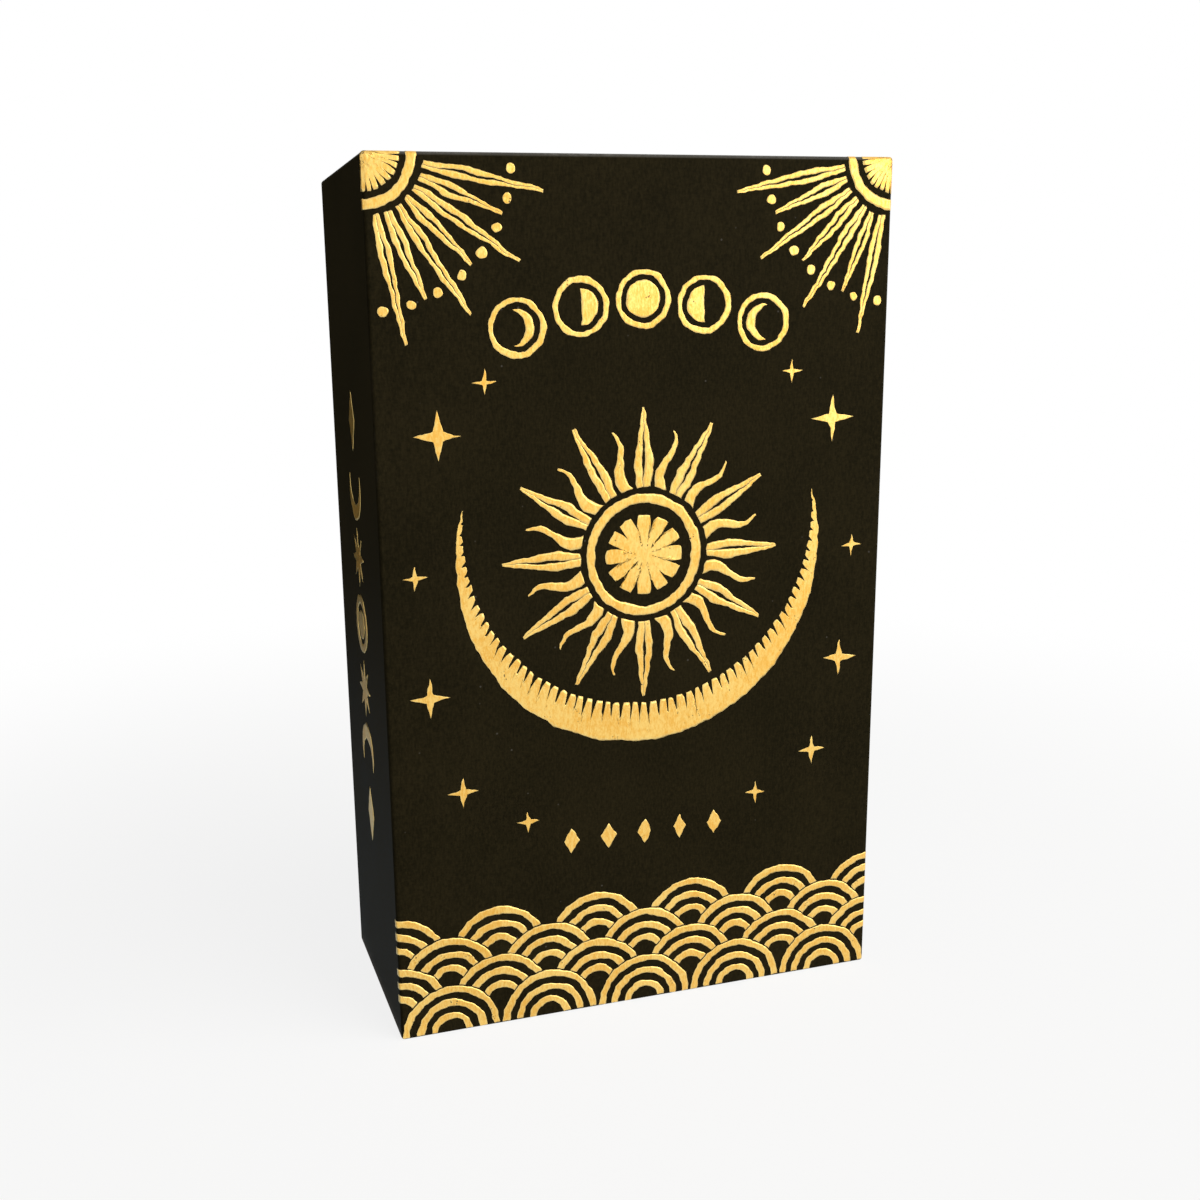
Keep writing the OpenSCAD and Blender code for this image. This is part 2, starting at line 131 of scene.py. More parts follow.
# Sun and crescent
sun_low, sun_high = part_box("foil_sun")
crescent_low, crescent_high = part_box("foil_crescent")
SUN = ((sun_low.x + sun_high.x) / 2, (sun_low.z + sun_high.z) / 2)
SUN_REACH = (sun_high.z - sun_low.z) / 2
SUN_RING = 9.2 * MM
SUN_CORE = 6 * MM
SUN_NOTCHES = 12
SUN_NOTCH_DEPTH = 0.42
SUN_RAYS = 24
SUN_RAY = 3 * MM
SUN_SLIT = 0.5 * MM
SUN_WAVE = 2 * MM
SUN_WAVE_SHORT = 3 * MM
CRESCENT_R = (crescent_high.x - crescent_low.x) / 2
CRESCENT_RISE = 5 * MM
CRESCENT_INNER = SUN_REACH + GAP + CRESCENT_RISE
CRESCENT_CUTS = 64
CRESCENT_CUT_DEPTH = 0.55

# Moon phases: how many stand on each side of the full moon, and how they fall away from it
phase_low, phase_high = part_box("foil_moon_phases")
PHASE_SIDES = 2
PHASE_R = 4.2 * MM
PHASE_STEP = (phase_high.x - phase_low.x - 2 * PHASE_R) / (2 * PHASE_SIDES)
PHASE_Z = phase_high.z - PHASE_R
PHASE_FALL = 0.9 * MM
PHASE_LINE = 0.8 * MM
PHASE_INNER = PHASE_R - 2 * PHASE_LINE

# Corner fans, which reach as far as the outer moons let them
FAN_RING = 7.5 * MM
FAN_RAYS = 7
FAN_SWEEP = QUARTER / (FAN_RAYS + 1)
FAN_GAP = 1.4 * MM
FAN_STEP = 5 * MM
FAN_FOOT = 0.9 * MM
FAN_SLIT = 0.4 * MM
FAN_RAY_GAP = 0.4 * MM
FAN_DOT = 0.7 * MM
FAN_WORN_CORNER = 0.3 * MM
FAN_NOTCHES = 32
FAN_NOTCH_DEPTH = 0.4
OUTER_MOON = (PHASE_SIDES * PHASE_STEP, PHASE_Z - PHASE_SIDES ** 2 * PHASE_FALL)
FAN_REACH = math.hypot(HALF_W - OUTER_MOON[0], BOX_H - OUTER_MOON[1]) - PHASE_R - FAN_GAP

# Waves, diamonds and stars. A star is its inset from the side, its height over the sun and its reach, in mm
WAVE_R = 8 * MM
WAVE_ROWS = 4
WAVE_ROW_RISE = WAVE_R / 2
WAVE_RINGS = 3
WAVE_LINE = 1.1 * MM
WAVE_STEP = 2.2 * MM
WAVE_GAP = 0.2 * MM
DIAMONDS = 5
DIAMOND_STEP = 6 * MM
DIAMOND_Z = 29 * MM
DIAMOND = (1.2 * MM, 2 * MM)
STAR_WAIST = 0.25
STARS = [(9, 19, 3.6), (6.5, -19, 3), (11, -34, 2.4), (5, -1, 1.8), (21, -40, 1.8), (16, 26.3, 1.8)]

# Spine ornaments
SPINE_R = 4.6 * MM
SPINE_STEP = 10.5 * MM
SPINE_DROP = 3 * MM
SPINE_DIAMOND = 2.3 * MM
SPINE_CRESCENT_INNER = 4 * MM
SPINE_CRESCENT_RISE = 1.8 * MM
EMBLEM_WAIST = 0.4

# Booklet and cards
guide_low, guide_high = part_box("guide_cover")
staple_low, staple_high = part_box("guide_staples")
card_low, card_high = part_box("major_card_00")
CARD_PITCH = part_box("major_card_01")[0].y - card_low.y
EMBLEM_R = 14 * MM
STAPLE_CROWN = 12 * MM
STAPLE_BEND = 0.4 * MM
STAPLE_TIP = 0.02
BEND_STEPS = 8
WIRE_SIDES = 12
WIRE_END = np.array([1e-6, 0.75])


# Camera

def aim_camera():
    """Stands the camera up: forward from its yaw and pitch, then turned about that line by its roll."""
    yaw, pitch, roll = (math.radians(a) for a in (CAMERA_YAW, CAMERA_PITCH, CAMERA_ROLL))
    forward = Vector((math.sin(yaw) * math.cos(pitch), math.cos(yaw) * math.cos(pitch), -math.sin(pitch)))
    right = Vector((math.cos(yaw), -math.sin(yaw), 0))
    down = forward.cross(right)
    rolled_right = math.cos(roll) * right + math.sin(roll) * down
    rolled_up = math.sin(roll) * right - math.cos(roll) * down
    data = bpy.data.cameras.new("camera")
    data.sensor_width = SENSOR
    data.lens = FOCAL_PIXELS / PICTURE * SENSOR
    data.shift_x = (PICTURE / 2 - AXIS_PIXEL[0]) / PICTURE
    data.shift_y = (AXIS_PIXEL[1] - PICTURE / 2) / PICTURE
    data.clip_start = CLIP_START
    camera = bpy.data.objects.new("camera", data)
    turn = Matrix((rolled_right, rolled_up, -forward)).transposed()
    camera.matrix_world = Matrix.Translation(CAMERA_PLACE) @ turn.to_4x4()
    bpy.context.scene.collection.objects.link(camera)
    bpy.context.scene.camera = camera


# Meshes

def grid_faces(rows, cols, wrap_rows=False, wrap_cols=False):
    """Four-sided faces between neighbours of a grid numbered row by row. A wrapped direction closes on
    itself."""
    i = np.arange(rows if wrap_rows else rows - 1)[:, None]
    j = np.arange(cols if wrap_cols else cols - 1)[None, :]
    next_i, next_j = (i + 1) % rows, (j + 1) % cols
    corners = (i * cols + j, i * cols + next_j, next_i * cols + next_j, next_i * cols + j)
    return np.stack(np.broadcast_arrays(*corners), axis=-1).reshape(-1, 4)


def piece(name, shapes, material, body, nodes, values=None):
    """Joins closed shapes, each its points and its faces, into one smooth piece on a body, in place of
    solids. Values are numbers kept at the points, by name."""
    starts = np.cumsum([0] + [len(points) for points, _ in shapes])
    points = np.concatenate([points for points, _ in shapes])
    faces = np.concatenate([faces + start for (_, faces), start in zip(shapes, starts)])
    mesh = bpy.data.meshes.new(name)
    mesh.from_pydata(points.tolist(), [], faces.tolist())
    for label, numbers in (values or {}).items():
        layer = mesh.attributes.new(label, "FLOAT", "POINT")
        layer.data.foreach_set("value", np.asarray(numbers, np.float32))
    merged = bmesh.new()
    merged.from_mesh(mesh)
    bmesh.ops.remove_doubles(merged, verts=merged.verts, dist=MERGE)
    bmesh.ops.recalc_face_normals(merged, faces=merged.faces)
    merged.to_mesh(mesh)
    merged.free()
    mesh.polygons.foreach_set("use_smooth", np.ones(len(mesh.polygons), bool))
    mesh.materials.append(material)
    made = bpy.data.objects.new(name, mesh)
    bpy.context.scene.collection.objects.link(made)
    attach(made, body)
    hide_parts(*nodes)
    return made


# Wrapping paper

def crown(x, z):
    """Height of a panel's crown: a parabola across the box times a parabola up it."""
    return CROWN * (1 - (x / HALF_W) ** 2) * (1 - (2 * z / BOX_H - 1) ** 2)


def section_rows(inset, depth, corner):
    """Rows of inset, depth and corner radius; a single number is repeated along the others."""
    return np.stack(np.broadcast_arrays(inset, depth, corner), axis=-1).reshape(-1, 3)


def paper_section(half_w, depth):
    """Section through the paper of one half, from the middle of its panel, round the fold, along the wall,
    over the rim and down inside the wall, and then back under itself. Folds and rims are quarter circles."""
    turn = np.linspace(0, QUARTER, FOLD_STEPS + 1)
    seam = PAPER + BOARD
    panel_in = np.concatenate([np.linspace(half_w, PANEL_EDGE, PANEL_STEPS), PANEL_INSETS])
    wall_in = np.concatenate([FOLD_R + WALL_NEAR_FOLD, WALL_SHARES * depth, depth - RIM_R - WALL_NEAR_RIM])
    inside_in = np.linspace(depth - RIM_R - INSIDE_NEAR_RIM, seam, INSIDE_STEPS)
    fold_in = FOLD_R * (1 - np.sin(turn))
    rim_out = RIM_R * (1 - np.cos(turn))
    outside = [
        section_rows(panel_in, 0, 0),
        section_rows(fold_in, FOLD_R * (1 - np.cos(turn)), FOLD_R - fold_in),
        section_rows(0, wall_in, FOLD_R),
        section_rows(rim_out, depth - RIM_R * (1 - np.sin(turn)), FOLD_R - rim_out),
        section_rows(WALL - RIM_R * (1 - np.sin(turn)), depth - RIM_R * (1 - np.cos(turn)), INNER_R),
        section_rows(WALL, inside_in, INNER_R)]
    under = [
        section_rows(WALL - PAPER, np.array([seam, depth - PAPER]), INNER_R / 2),
        section_rows(PAPER, np.array([depth - PAPER, PAPER]), FOLD_R - PAPER),
        section_rows(np.linspace(UNDER_START, half_w, UNDER_STEPS), PAPER, 0)]
    return np.concatenate(outside), np.concatenate(under)


def rounded_loop():
    """Stations round a rounded rectangle: shares of the straight half sides, and the corner's direction."""
    side = np.concatenate([-SIDE_END[::-1], SIDE_MIDDLE, SIDE_END])
    one = np.ones_like(side)
    bend = np.linspace(0, QUARTER, CORNER_STEPS + 1)[1:-1]
    straights = ((one, side), (-side, one), (-one, -side), (side, -one))
    corners = ((1, 1), (-1, 1), (-1, -1), (1, -1))
    across, up, angle = [], [], []
    for turns, ((along_x, along_z), (end_x, end_z)) in enumerate(zip(straights, corners)):
        across += [along_x, np.full_like(bend, end_x)]
        up += [along_z, np.full_like(bend, end_z)]
        angle += [np.full_like(side, turns * QUARTER), turns * QUARTER + bend]
    return np.concatenate(across), np.concatenate(up), np.concatenate(angle)


def paper_half(name, low, high, facing, material, body, node):
    """Paper of one half of the box: its section carried round a rounded rectangle, its panel facing -y (-1)
    or +y (+1). The panel closes on the middle line, where the two long sides meet. The gap to the nearest
    fold or rim is kept at the points."""
    half_w, half_h, depth = (high.x - low.x) / 2, (high.z - low.z) / 2, high.y - low.y
    middle_x, middle_z = (low.x + high.x) / 2, (low.z + high.z) / 2
    panel_y = low.y if facing < 0 else high.y
    outside, under = paper_section(half_w, depth)
    inset, back, corner = np.concatenate([outside, under]).T[:, :, None]
    across, up, angle = (a[None, :] for a in rounded_loop())
    x = across * (half_w - inset - corner) + corner * np.cos(angle)
    z = up * (half_h - inset - corner) + corner * np.sin(angle)
    on_panel = (back == 0) & (np.arange(len(back)) < len(outside))[:, None]
    y = panel_y - facing * back + np.where(on_panel, facing * crown(x, z + half_h), 0)
    points = np.stack([x + middle_x, y, z + middle_z], axis=-1)
    faces = grid_faces(len(points), points.shape[1], wrap_cols=True)
    to_faces = np.stack(np.broadcast_arrays(
        half_w - np.abs(x), half_h - np.abs(z), np.minimum(back, depth - back)), axis=-1)
    edge_gap = np.sort(to_faces, axis=-1)[..., 1] / MM
    edge_gap[len(outside):] = half_w / MM
    return piece(name, [(points.reshape(-1, 3), faces)], material, body, [node],
                 {"edge_gap": edge_gap.ravel()})


# Foil, laid out flat and then placed

def on_lid(uv, lift):
    """Place on the lid's paper, laid out flat: u across, v up. Past the flat front the paper follows an arc
    of the fold's radius and then runs straight back along the wall. In a corner the two arcs share a ball."""
    u, v = uv[..., 0], uv[..., 1]
    flat_u, flat_v = HALF_W - FOLD_R, BOX_H / 2 - FOLD_R
    rise = v - BOX_H / 2
    over_u, over_v = np.maximum(np.abs(u) - flat_u, 0), np.maximum(np.abs(rise) - flat_v, 0)
    turn_u, turn_v = np.minimum(over_u / FOLD_R, QUARTER), np.minimum(over_v / FOLD_R, QUARTER)
    back = np.maximum(over_u - QUARTER * FOLD_R, 0) + np.maximum(over_v - QUARTER * FOLD_R, 0)
    radius = FOLD_R + lift
    out = np.stack([np.sin(turn_u), np.cos(turn_u) * np.cos(turn_v), np.sin(turn_v)])
    out_x, out_y, out_z = out / np.linalg.norm(out, axis=0)
    x = np.sign(u) * (np.minimum(np.abs(u), flat_u) + radius * out_x)
    z = BOX_H / 2 + np.sign(rise) * (np.minimum(np.abs(rise), flat_v) + radius * out_z)
    y = FRONT + FOLD_R - radius * out_y + back
    on_front = (over_u + over_v) == 0
    return np.stack([x, y - np.where(on_front, crown(x, z), 0), z], axis=-1)


def on_booklet(uv, lift):
    """Place on the booklet's front cover: u across, v up."""
    return np.stack([uv[..., 0], np.full(uv.shape[:-1], guide_low.y) - lift, uv[..., 1]], axis=-1)


def wander(uv):
    """Moves each point by a sum of plane waves of set lengths, so that the edges run as hand-cut ones do."""
    dice = np.random.default_rng(WANDER_SEED)
    moved = uv.copy()
    for length, sway in WANDER:
        for turn in dice.uniform(0, FULL, WANDER_WAYS):
            phase = (uv @ np.array([math.cos(turn), math.sin(turn)])) * FULL / length
            aim = dice.uniform(0, FULL)
            moved += sway * np.sin(phase + aim)[..., None] * np.array([math.cos(aim), math.sin(aim)])
    return moved


def slab(uv, place, closed):
    """Thin closed slab over a grid of flat points: a top skin above the paper and a bottom skin pressed into
    it, joined along the grid's borders. A closed grid meets itself at its ends, and an open one is capped
    there."""
    cut = wander(uv)
    loops = np.concatenate([place(cut, FOIL), place(cut, -PRESSED)[:, ::-1]], axis=1)
    rows, cols = loops.shape[:2]
    faces = [grid_faces(rows, cols, wrap_rows=closed, wrap_cols=True)]
    if not closed:
        j = np.arange(cols // 2 - 1)
        cap = np.stack([j, j + 1, cols - 2 - j, cols - 1 - j], axis=-1)
        faces += [cap, cap[:, ::-1] + (rows - 1) * cols]
    return loops.reshape(-1, 3), np.concatenate(faces)


def rim_share(uv, closed):
    """1 on the border of a grid and 0 inside it, for the top skin and then, turned round, for the bottom
    one."""
    share = np.zeros(uv.shape[:2])
    share[:, [0, -1]] = 1
    if not closed:
        share[[0, -1], :] = 1
    return np.concatenate([share, share[:, ::-1]], axis=1).ravel()


def stamp(name, grids, material, body, nodes, place=on_lid):
    """One piece of foil from grids of flat points, each with whether it closes on itself."""
    shapes = [slab(uv, place, closed) for uv, closed in grids]
    rims = np.concatenate([rim_share(uv, closed) for uv, closed in grids])
    return piece(name, shapes, material, body, nodes, {"rim": rims})


# Flat shapes of the foil

def steps(length):
    """How many points a stretch of that length takes."""
    return max(LINE_POINTS, math.ceil(length / FOIL_STEP) + 1)


def polar(centre, radius, angle):
    """Flat points at radii and angles about a centre."""
    return np.stack([centre[0] + radius * np.cos(angle), centre[1] + radius * np.sin(angle)], axis=-1)


def turned(along, aside, centre, angle):
    """Flat points from distances along and aside of a line that leaves the centre at an angle."""
    c, s = math.cos(angle), math.sin(angle)
    return np.stack([centre[0] + along * c - aside * s, centre[1] + along * s + aside * c], axis=-1)


def wedges(turns, taper):
    """Narrow wedges, one in each whole turn: 1 in the middle of a wedge and 0 between them."""
    return np.maximum(1 - np.abs(turns % 1 - 0.5) * taper, 0)


def ring(centre, outer, line):
    """Closed band between two circles."""
    angle = np.linspace(0, FULL, steps(FULL * outer), endpoint=False)[:, None]
    return polar(centre, np.linspace(outer - line, outer, LINE_POINTS)[None, :], angle), True


def band(centre, inner, outer, limits, notches=0, depth=0.0):
    """Open band between two circles with notches cut in from the outer one. Limits gives the two end angles
    at each radius."""
    radius = np.linspace(inner, outer, steps((outer - inner) / 2))[None, :]
    start, end = limits(radius)
    share = np.linspace(0, 1, steps(outer * float(np.max(end - start))))[:, None]
    angle = start + (end - start) * share
    cut = depth * wedges(angle / FULL * notches, NOTCH_TAPER) * (radius - inner) / (outer - inner)
    return polar(centre, radius - (outer - inner) * cut, angle), False


def rounded_square(count):
    """Radius and angle of a grid of points that fills a circle: a square grid, each point drawn in by the
    other side's curve."""
    a, b = np.meshgrid(np.linspace(-1, 1, count), np.linspace(-1, 1, count), indexing="ij")
    x, y = a * np.sqrt(1 - b * b / 2), b * np.sqrt(1 - a * a / 2)
    return np.hypot(x, y), np.arctan2(y, x)


def disc(centre, r, notches=0, depth=0.0):
    """Filled circle with notches cut in from its rim."""
    radius, angle = rounded_square(max(DISC_POINTS, steps(r * QUARTER) | 1))
    cut = depth * wedges(angle / FULL * notches, NOTCH_TAPER)
    return polar(centre, radius * r * (1 - cut), angle), False


def star(centre, points, reach, waist):
    """Star with straight sides: along each side the radius is that of the line from a tip to a waist
    point."""
    radius, angle = rounded_square(max(STAR_POINTS, steps(reach) | 1))
    half = math.pi / points
    off_tip = np.abs((angle - QUARTER + half) % (2 * half) - half)
    side = reach * waist * math.sin(half) / (reach * np.sin(off_tip) + waist * np.sin(half - off_tip))
    return polar(centre, radius * side, angle), False


def blade(centre, angle, start, end, foot, belly, slit):
    """Straight ray in two halves with an engraved slit between them. Its width swells from the foot to a
    belly and narrows to the tip, and the slit's width rises and falls along it."""
    share = np.linspace(0, 1, steps(end - start))[:, None]
    edge = np.interp(share, [0, RAY_BELLY, 1], [foot / 2, belly / 2, TIP / 2])
    inner = np.interp(share, SLIT_SHARES, [SLIT_HAIR, SLIT_HAIR, slit / 2, SLIT_HAIR, SLIT_TIP])
    aside = inner + (edge - inner) * np.linspace(0, 1, RAY_POINTS)[None, :]
    along = start + (end - start) * share + 0 * aside
    return [(turned(along, side * aside, centre, angle), False) for side in (-1, 1)]


def flame(centre, angle, start, end, line):
    """Wavy ray: its middle sways as one full sine, and its width narrows to the tip."""
    share = np.linspace(0, 1, steps(end - start))[:, None]
    middle = line * WAVY_SWAY * np.sin(FULL * share)
    half = line / 2 * (1 - WAVY_TAPER * share)
    aside = middle + half * np.linspace(-1, 1, LINE_POINTS)[None, :]
    return turned(start + (end - start) * share + 0 * aside, aside, centre, angle), False


def lune(centre, r, inner_r, rise, turn=0.0, cuts=0, depth=0.0):
    """Crescent between a circle and a second one raised above it, from horn to horn. Cuts are fine engraved
    lines that run in from its inner edge."""
    horn = (r * r - inner_r * inner_r + rise * rise) / (2 * rise)
    outer_end = math.pi - math.acos(horn / r)
    inner_end = math.pi - math.acos((horn - rise) / inner_r)
    share = np.linspace(-HORN_END, HORN_END, steps(2 * r * outer_end))[:, None]
    outer_turn, inner_turn = outer_end * share, inner_end * share
    outer = np.stack([r * np.sin(outer_turn), -r * np.cos(outer_turn)], axis=-1)
    inner = np.stack([inner_r * np.sin(inner_turn), rise - inner_r * np.cos(inner_turn)], axis=-1)
    cut = depth * wedges(share * cuts / 2, TOOTH_TAPER)
    across = np.linspace(0, 1, steps((r - inner_r + rise) / 2))[None, :]
    flat = inner + (outer - inner) * (cut + (1 - cut) * across)[..., None]
    return turned(flat[..., 0], flat[..., 1], centre, turn), False


def half_disc(centre, r, side):
    """Lit half of a moon: between its middle line and its circle, on one side."""
    up = np.linspace(-HORN_END, HORN_END, steps(2 * r))[:, None]
    out = np.linspace(HALF_MOON_EDGE, 1, DISC_POINTS)[None, :] * np.sqrt(1 - up * up)
    return np.stack([centre[0] + side * r * out, centre[1] + r * up + 0 * out], axis=-1), False


# Motifs of the foil

def sun_grids():
    """Notched core, ring, straight rays and wavy rays in turn."""
    start = SUN_RING + GAP
    grids = [disc(SUN, SUN_CORE, SUN_NOTCHES, SUN_NOTCH_DEPTH), ring(SUN, SUN_RING, LINE)]
    for i in range(SUN_RAYS):
        angle = FULL * i / SUN_RAYS
        if i % 2 == 0:
            grids += blade(SUN, angle, start, SUN_REACH, SUN_WAVE, SUN_RAY, SUN_SLIT)
        else:
            grids.append(flame(SUN, angle, start, SUN_REACH - SUN_WAVE_SHORT, SUN_WAVE))
    return grids


def crescent_grids():
    """One large crescent under the sun, with engraved teeth along its inner edge."""
    return [lune(SUN, CRESCENT_R, CRESCENT_INNER, CRESCENT_RISE,
                 cuts=CRESCENT_CUTS, depth=CRESCENT_CUT_DEPTH)]


def phase_grids():
    """Five ringed moons in an arch: crescent, half, full, half, crescent."""
    grids = []
    for i in range(-PHASE_SIDES, PHASE_SIDES + 1):
        centre = (i * PHASE_STEP, PHASE_Z - i * i * PHASE_FALL)
        grids.append(ring(centre, PHASE_R, PHASE_LINE))
        side = -1 if i > 0 else 1
        if i == 0:
            grids.append(disc(centre, PHASE_INNER))
        elif abs(i) == 1:
            grids.append(half_disc(centre, PHASE_INNER, side))
        else:
            grids.append(lune(centre, PHASE_INNER, PHASE_INNER, PHASE_INNER / 2, turn=side * QUARTER))
    return grids


def fan_limits(inward):
    """End angles of a fan's bands at each radius: a right angle about its middle, and past both folds."""
    def limits(radius):
        over = np.arcsin(np.minimum(BLEED / radius, 1))
        return inward - QUARTER / 2 - over, inward + QUARTER / 2 + over

    return limits


def fan_grids():
    """Quarter ring, notched quarter disc, rays and dots about each upper corner. A fan's middle points down
    and inward at 45 degrees. Ring and disc run over the folds, and the disc is worn away at the very
    corner."""
    start, short = FAN_RING + GAP, FAN_REACH - FAN_STEP
    belly = start + RAY_BELLY * (short - start)
    line = 2 * belly * math.tan(FAN_SWEEP / 2) - FAN_RAY_GAP
    disc_r = FAN_RING - LINE - GAP
    grids = []
    for side in (-1, 1):
        corner = (side * HALF_W, BOX_H)
        inward = math.pi * (1.5 - side / 4)
        first = inward - QUARTER / 2
        limits = fan_limits(inward)
        grids += [band(corner, FAN_RING - LINE, FAN_RING, limits),
                  band(corner, FAN_WORN_CORNER, disc_r, limits, FAN_NOTCHES, FAN_NOTCH_DEPTH)]
        for i in range(1, FAN_RAYS + 1):
            end = short if i % 2 == 0 else FAN_REACH
            grids += blade(corner, first + FAN_SWEEP * i, start, end, FAN_FOOT, line, FAN_SLIT)
        for i in range(FAN_RAYS + 1):
            grids.append(disc(polar(corner, short, first + FAN_SWEEP * (i + 0.5)), FAN_DOT))
    return grids


def wave_limits(row, centre):
    """End angles of a scallop's rings at each radius: where a raised scallop meets the circles of the two
    below it, or the tail fold for the lowest row, and never farther than the bleed past the side folds."""
    lean = math.atan2(WAVE_ROW_RISE, WAVE_R)
    span = math.hypot(WAVE_R, WAVE_ROW_RISE)

    def limits(radius):
        if row:
            low = np.arccos((radius ** 2 + span ** 2 - WAVE_R ** 2) / (2 * radius * span)) - lean
        else:
            low = np.arcsin(TAIL_EDGE / radius)
        right = np.arccos(np.clip((HALF_W + BLEED - centre[0]) / radius, -1, 1))
        left = np.arccos(np.clip((-HALF_W - BLEED - centre[0]) / radius, -1, 1))
        return np.maximum(low, right), np.minimum(math.pi - low, left)

    return limits


def wave_grids():
    """Rows of scallops, each of three half rings; every second row is moved by half a scallop."""
    grids = []
    reach = math.ceil(HALF_W / WAVE_R)
    for row in range(WAVE_ROWS):
        for i in range(-reach, reach + 1):
            if (i + row) % 2:
                continue
            centre = (i * WAVE_R, row * WAVE_ROW_RISE)
            for turn in range(WAVE_RINGS):
                outer = WAVE_R - WAVE_GAP - turn * WAVE_STEP
                grids.append(band(centre, outer - WAVE_LINE, outer, wave_limits(row, centre)))
    return grids


def star_grids():
    """Four-pointed stars in pairs beside the sun, and a row of diamonds over the waves."""
    grids = []
    for inset, height, reach in STARS:
        for side in (-1, 1):
            centre = (side * (HALF_W - inset * MM), SUN[1] + height * MM)
            grids.append(star(centre, points=4, reach=reach * MM, waist=reach * MM * STAR_WAIST))
    for i in range(DIAMONDS):
        centre = ((i - (DIAMONDS - 1) / 2) * DIAMOND_STEP, DIAMOND_Z)
        grids.append(star(centre, points=2, reach=DIAMOND[1], waist=DIAMOND[0]))
    return grids


def spine_grids():
    """Column of ornaments down the middle of the spine: a ringed moon between stars, crescents and
    diamonds."""
    middle_u = -(HALF_W - FOLD_R) - QUARTER * FOLD_R - (BOX_D / 2 - FOLD_R)
    middle = (middle_u, BOX_H / 2 - SPINE_DROP)
    grids = [ring(middle, SPINE_R, LINE), disc(middle, SPINE_R - LINE - GAP)]
    for side in (-1, 1):
        places = [(middle_u, middle[1] + side * i * SPINE_STEP) for i in (1, 2, 3)]
        away = (1 - side) * QUARTER
        grids += [star(places[0], points=8, reach=SPINE_R, waist=SPINE_R * EMBLEM_WAIST),
                  lune(places[1], SPINE_R, SPINE_CRESCENT_INNER, SPINE_CRESCENT_RISE, turn=away),
                  star(places[2], points=2, reach=SPINE_R, waist=SPINE_DIAMOND)]
    return grids


def emblem_grids():
    """Ring and eight-pointed star in the middle of the booklet's cover."""
    centre = ((card_low.x + card_high.x) / 2, (guide_low.z + guide_high.z) / 2)
    reach = EMBLEM_R - 2 * LINE
    return [ring(centre, EMBLEM_R, LINE), star(centre, points=8, reach=reach, waist=reach * EMBLEM_WAIST)]


# Staples

def swept_wire(path, r):
    """Round wire: a circle carried along a flat path in x and z, square to it, with both ends rounded off
    and closed on the path."""
    ahead = np.gradient(path, axis=0)
    ahead /= np.linalg.norm(ahead, axis=1)[:, None]
    aside = np.stack([-ahead[:, 2], np.zeros(len(path)), ahead[:, 0]], axis=-1)[:, None, :]
    angle = np.linspace(0, FULL, WIRE_SIDES, endpoint=False)[None, :, None]
    whole = np.ones(len(path) - 2 * len(WIRE_END))
    size = np.concatenate([WIRE_END, whole, WIRE_END[::-1]])[:, None, None] * r
    points = path[:, None, :] + size * (np.cos(angle) * aside + np.sin(angle) * np.array([0, 1, 0]))
    return points.reshape(-1, 3), grid_faces(len(path), WIRE_SIDES, wrap_cols=True)


def rounded_path(corners, r):
    """Path through corner points, each turned by an arc of radius r that is tangent to both of its sides."""
    t = np.linspace(0, QUARTER, BEND_STEPS)[:, None]
    stretches = [corners[:1]]
    for before, at, after in zip(corners[:-2], corners[1:-1], corners[2:]):
        a, b = (before - at) / np.linalg.norm(before - at), (after - at) / np.linalg.norm(after - at)
        stretches.append(at + r * (a * (1 - np.sin(t)) + b * (1 - np.cos(t))))
    stretches.append(corners[-1:])
    return np.concatenate(stretches)


def staple_shapes():
    """Two staples: crown outside the fold, two legs through it and two ends bent towards each other."""
    wire = staple_high.y - staple_low.y
    middle_y = (staple_low.y + staple_high.y) / 2
    outside, inside = staple_low.x + wire / 2, staple_high.x - wire / 2
    leg, bent = STAPLE_CROWN / 2 - wire / 2, wire
    route = ((inside, -bent), (inside, -leg), (outside, -leg), (outside, leg), (inside, leg), (inside, bent))
    shapes = []
    for middle_z in (staple_low.z + STAPLE_CROWN / 2, staple_high.z - STAPLE_CROWN / 2):
        path = rounded_path(np.array([[x, middle_y, middle_z + z] for x, z in route]), STAPLE_BEND)
        first = path[:1] * (1 - STAPLE_TIP) + path[1:2] * STAPLE_TIP
        last = path[-1:] * (1 - STAPLE_TIP) + path[-2:-1] * STAPLE_TIP
        path = np.concatenate([path[:1], first, path[1:-1], last, path[-1:]])
        shapes.append(swept_wire(path, wire / 2))
    return shapes


# Shader nodes

def add(tree, kind, inputs=(), **settings):
    """Adds a node, sets its properties, then sets or links its inputs by name."""
    made = tree.nodes.new(kind)
    for name, value in settings.items():
        setattr(made, name, value)
    for name, value in dict(inputs).items():
        if isinstance(value, bpy.types.NodeSocket):
            tree.links.new(value, made.inputs[name])
        else:
            made.inputs[name].default_value = value
    return made


def calc(tree, operation, *values, clamp=False):
    """One step of arithmetic on numbers and sockets."""
    return add(tree, "ShaderNodeMath", enumerate(values), operation=operation, use_clamp=clamp).outputs[0]


def noise(tree, position, scale, detail=2.0, roughness=0.5, distortion=0.0):
    """Value of a noise texture at a position."""
    inputs = {"Vector": position, "Scale": scale, "Detail": detail, "Roughness": roughness,
              "Distortion": distortion}
    return add(tree, "ShaderNodeTexNoise", inputs).outputs[0]


def cells(tree, position, scale):
    """Outputs of a texture of scattered cells at a position."""
    inputs = {"Vector": position, "Scale": scale, "Randomness": 1.0}
    return add(tree, "ShaderNodeTexVoronoi", inputs).outputs


def axes(tree, position):
    """The three numbers of a position."""
    return add(tree, "ShaderNodeSeparateXYZ", {0: position}).outputs


def between(tree, value, low, high):
    """0 below one value and 1 above another, with a smooth step between; high may be the lower of the two."""
    inputs = {"Value": value, "From Min": low, "From Max": high}
    return add(tree, "ShaderNodeMapRange", inputs, interpolation_type="SMOOTHSTEP").outputs[0]


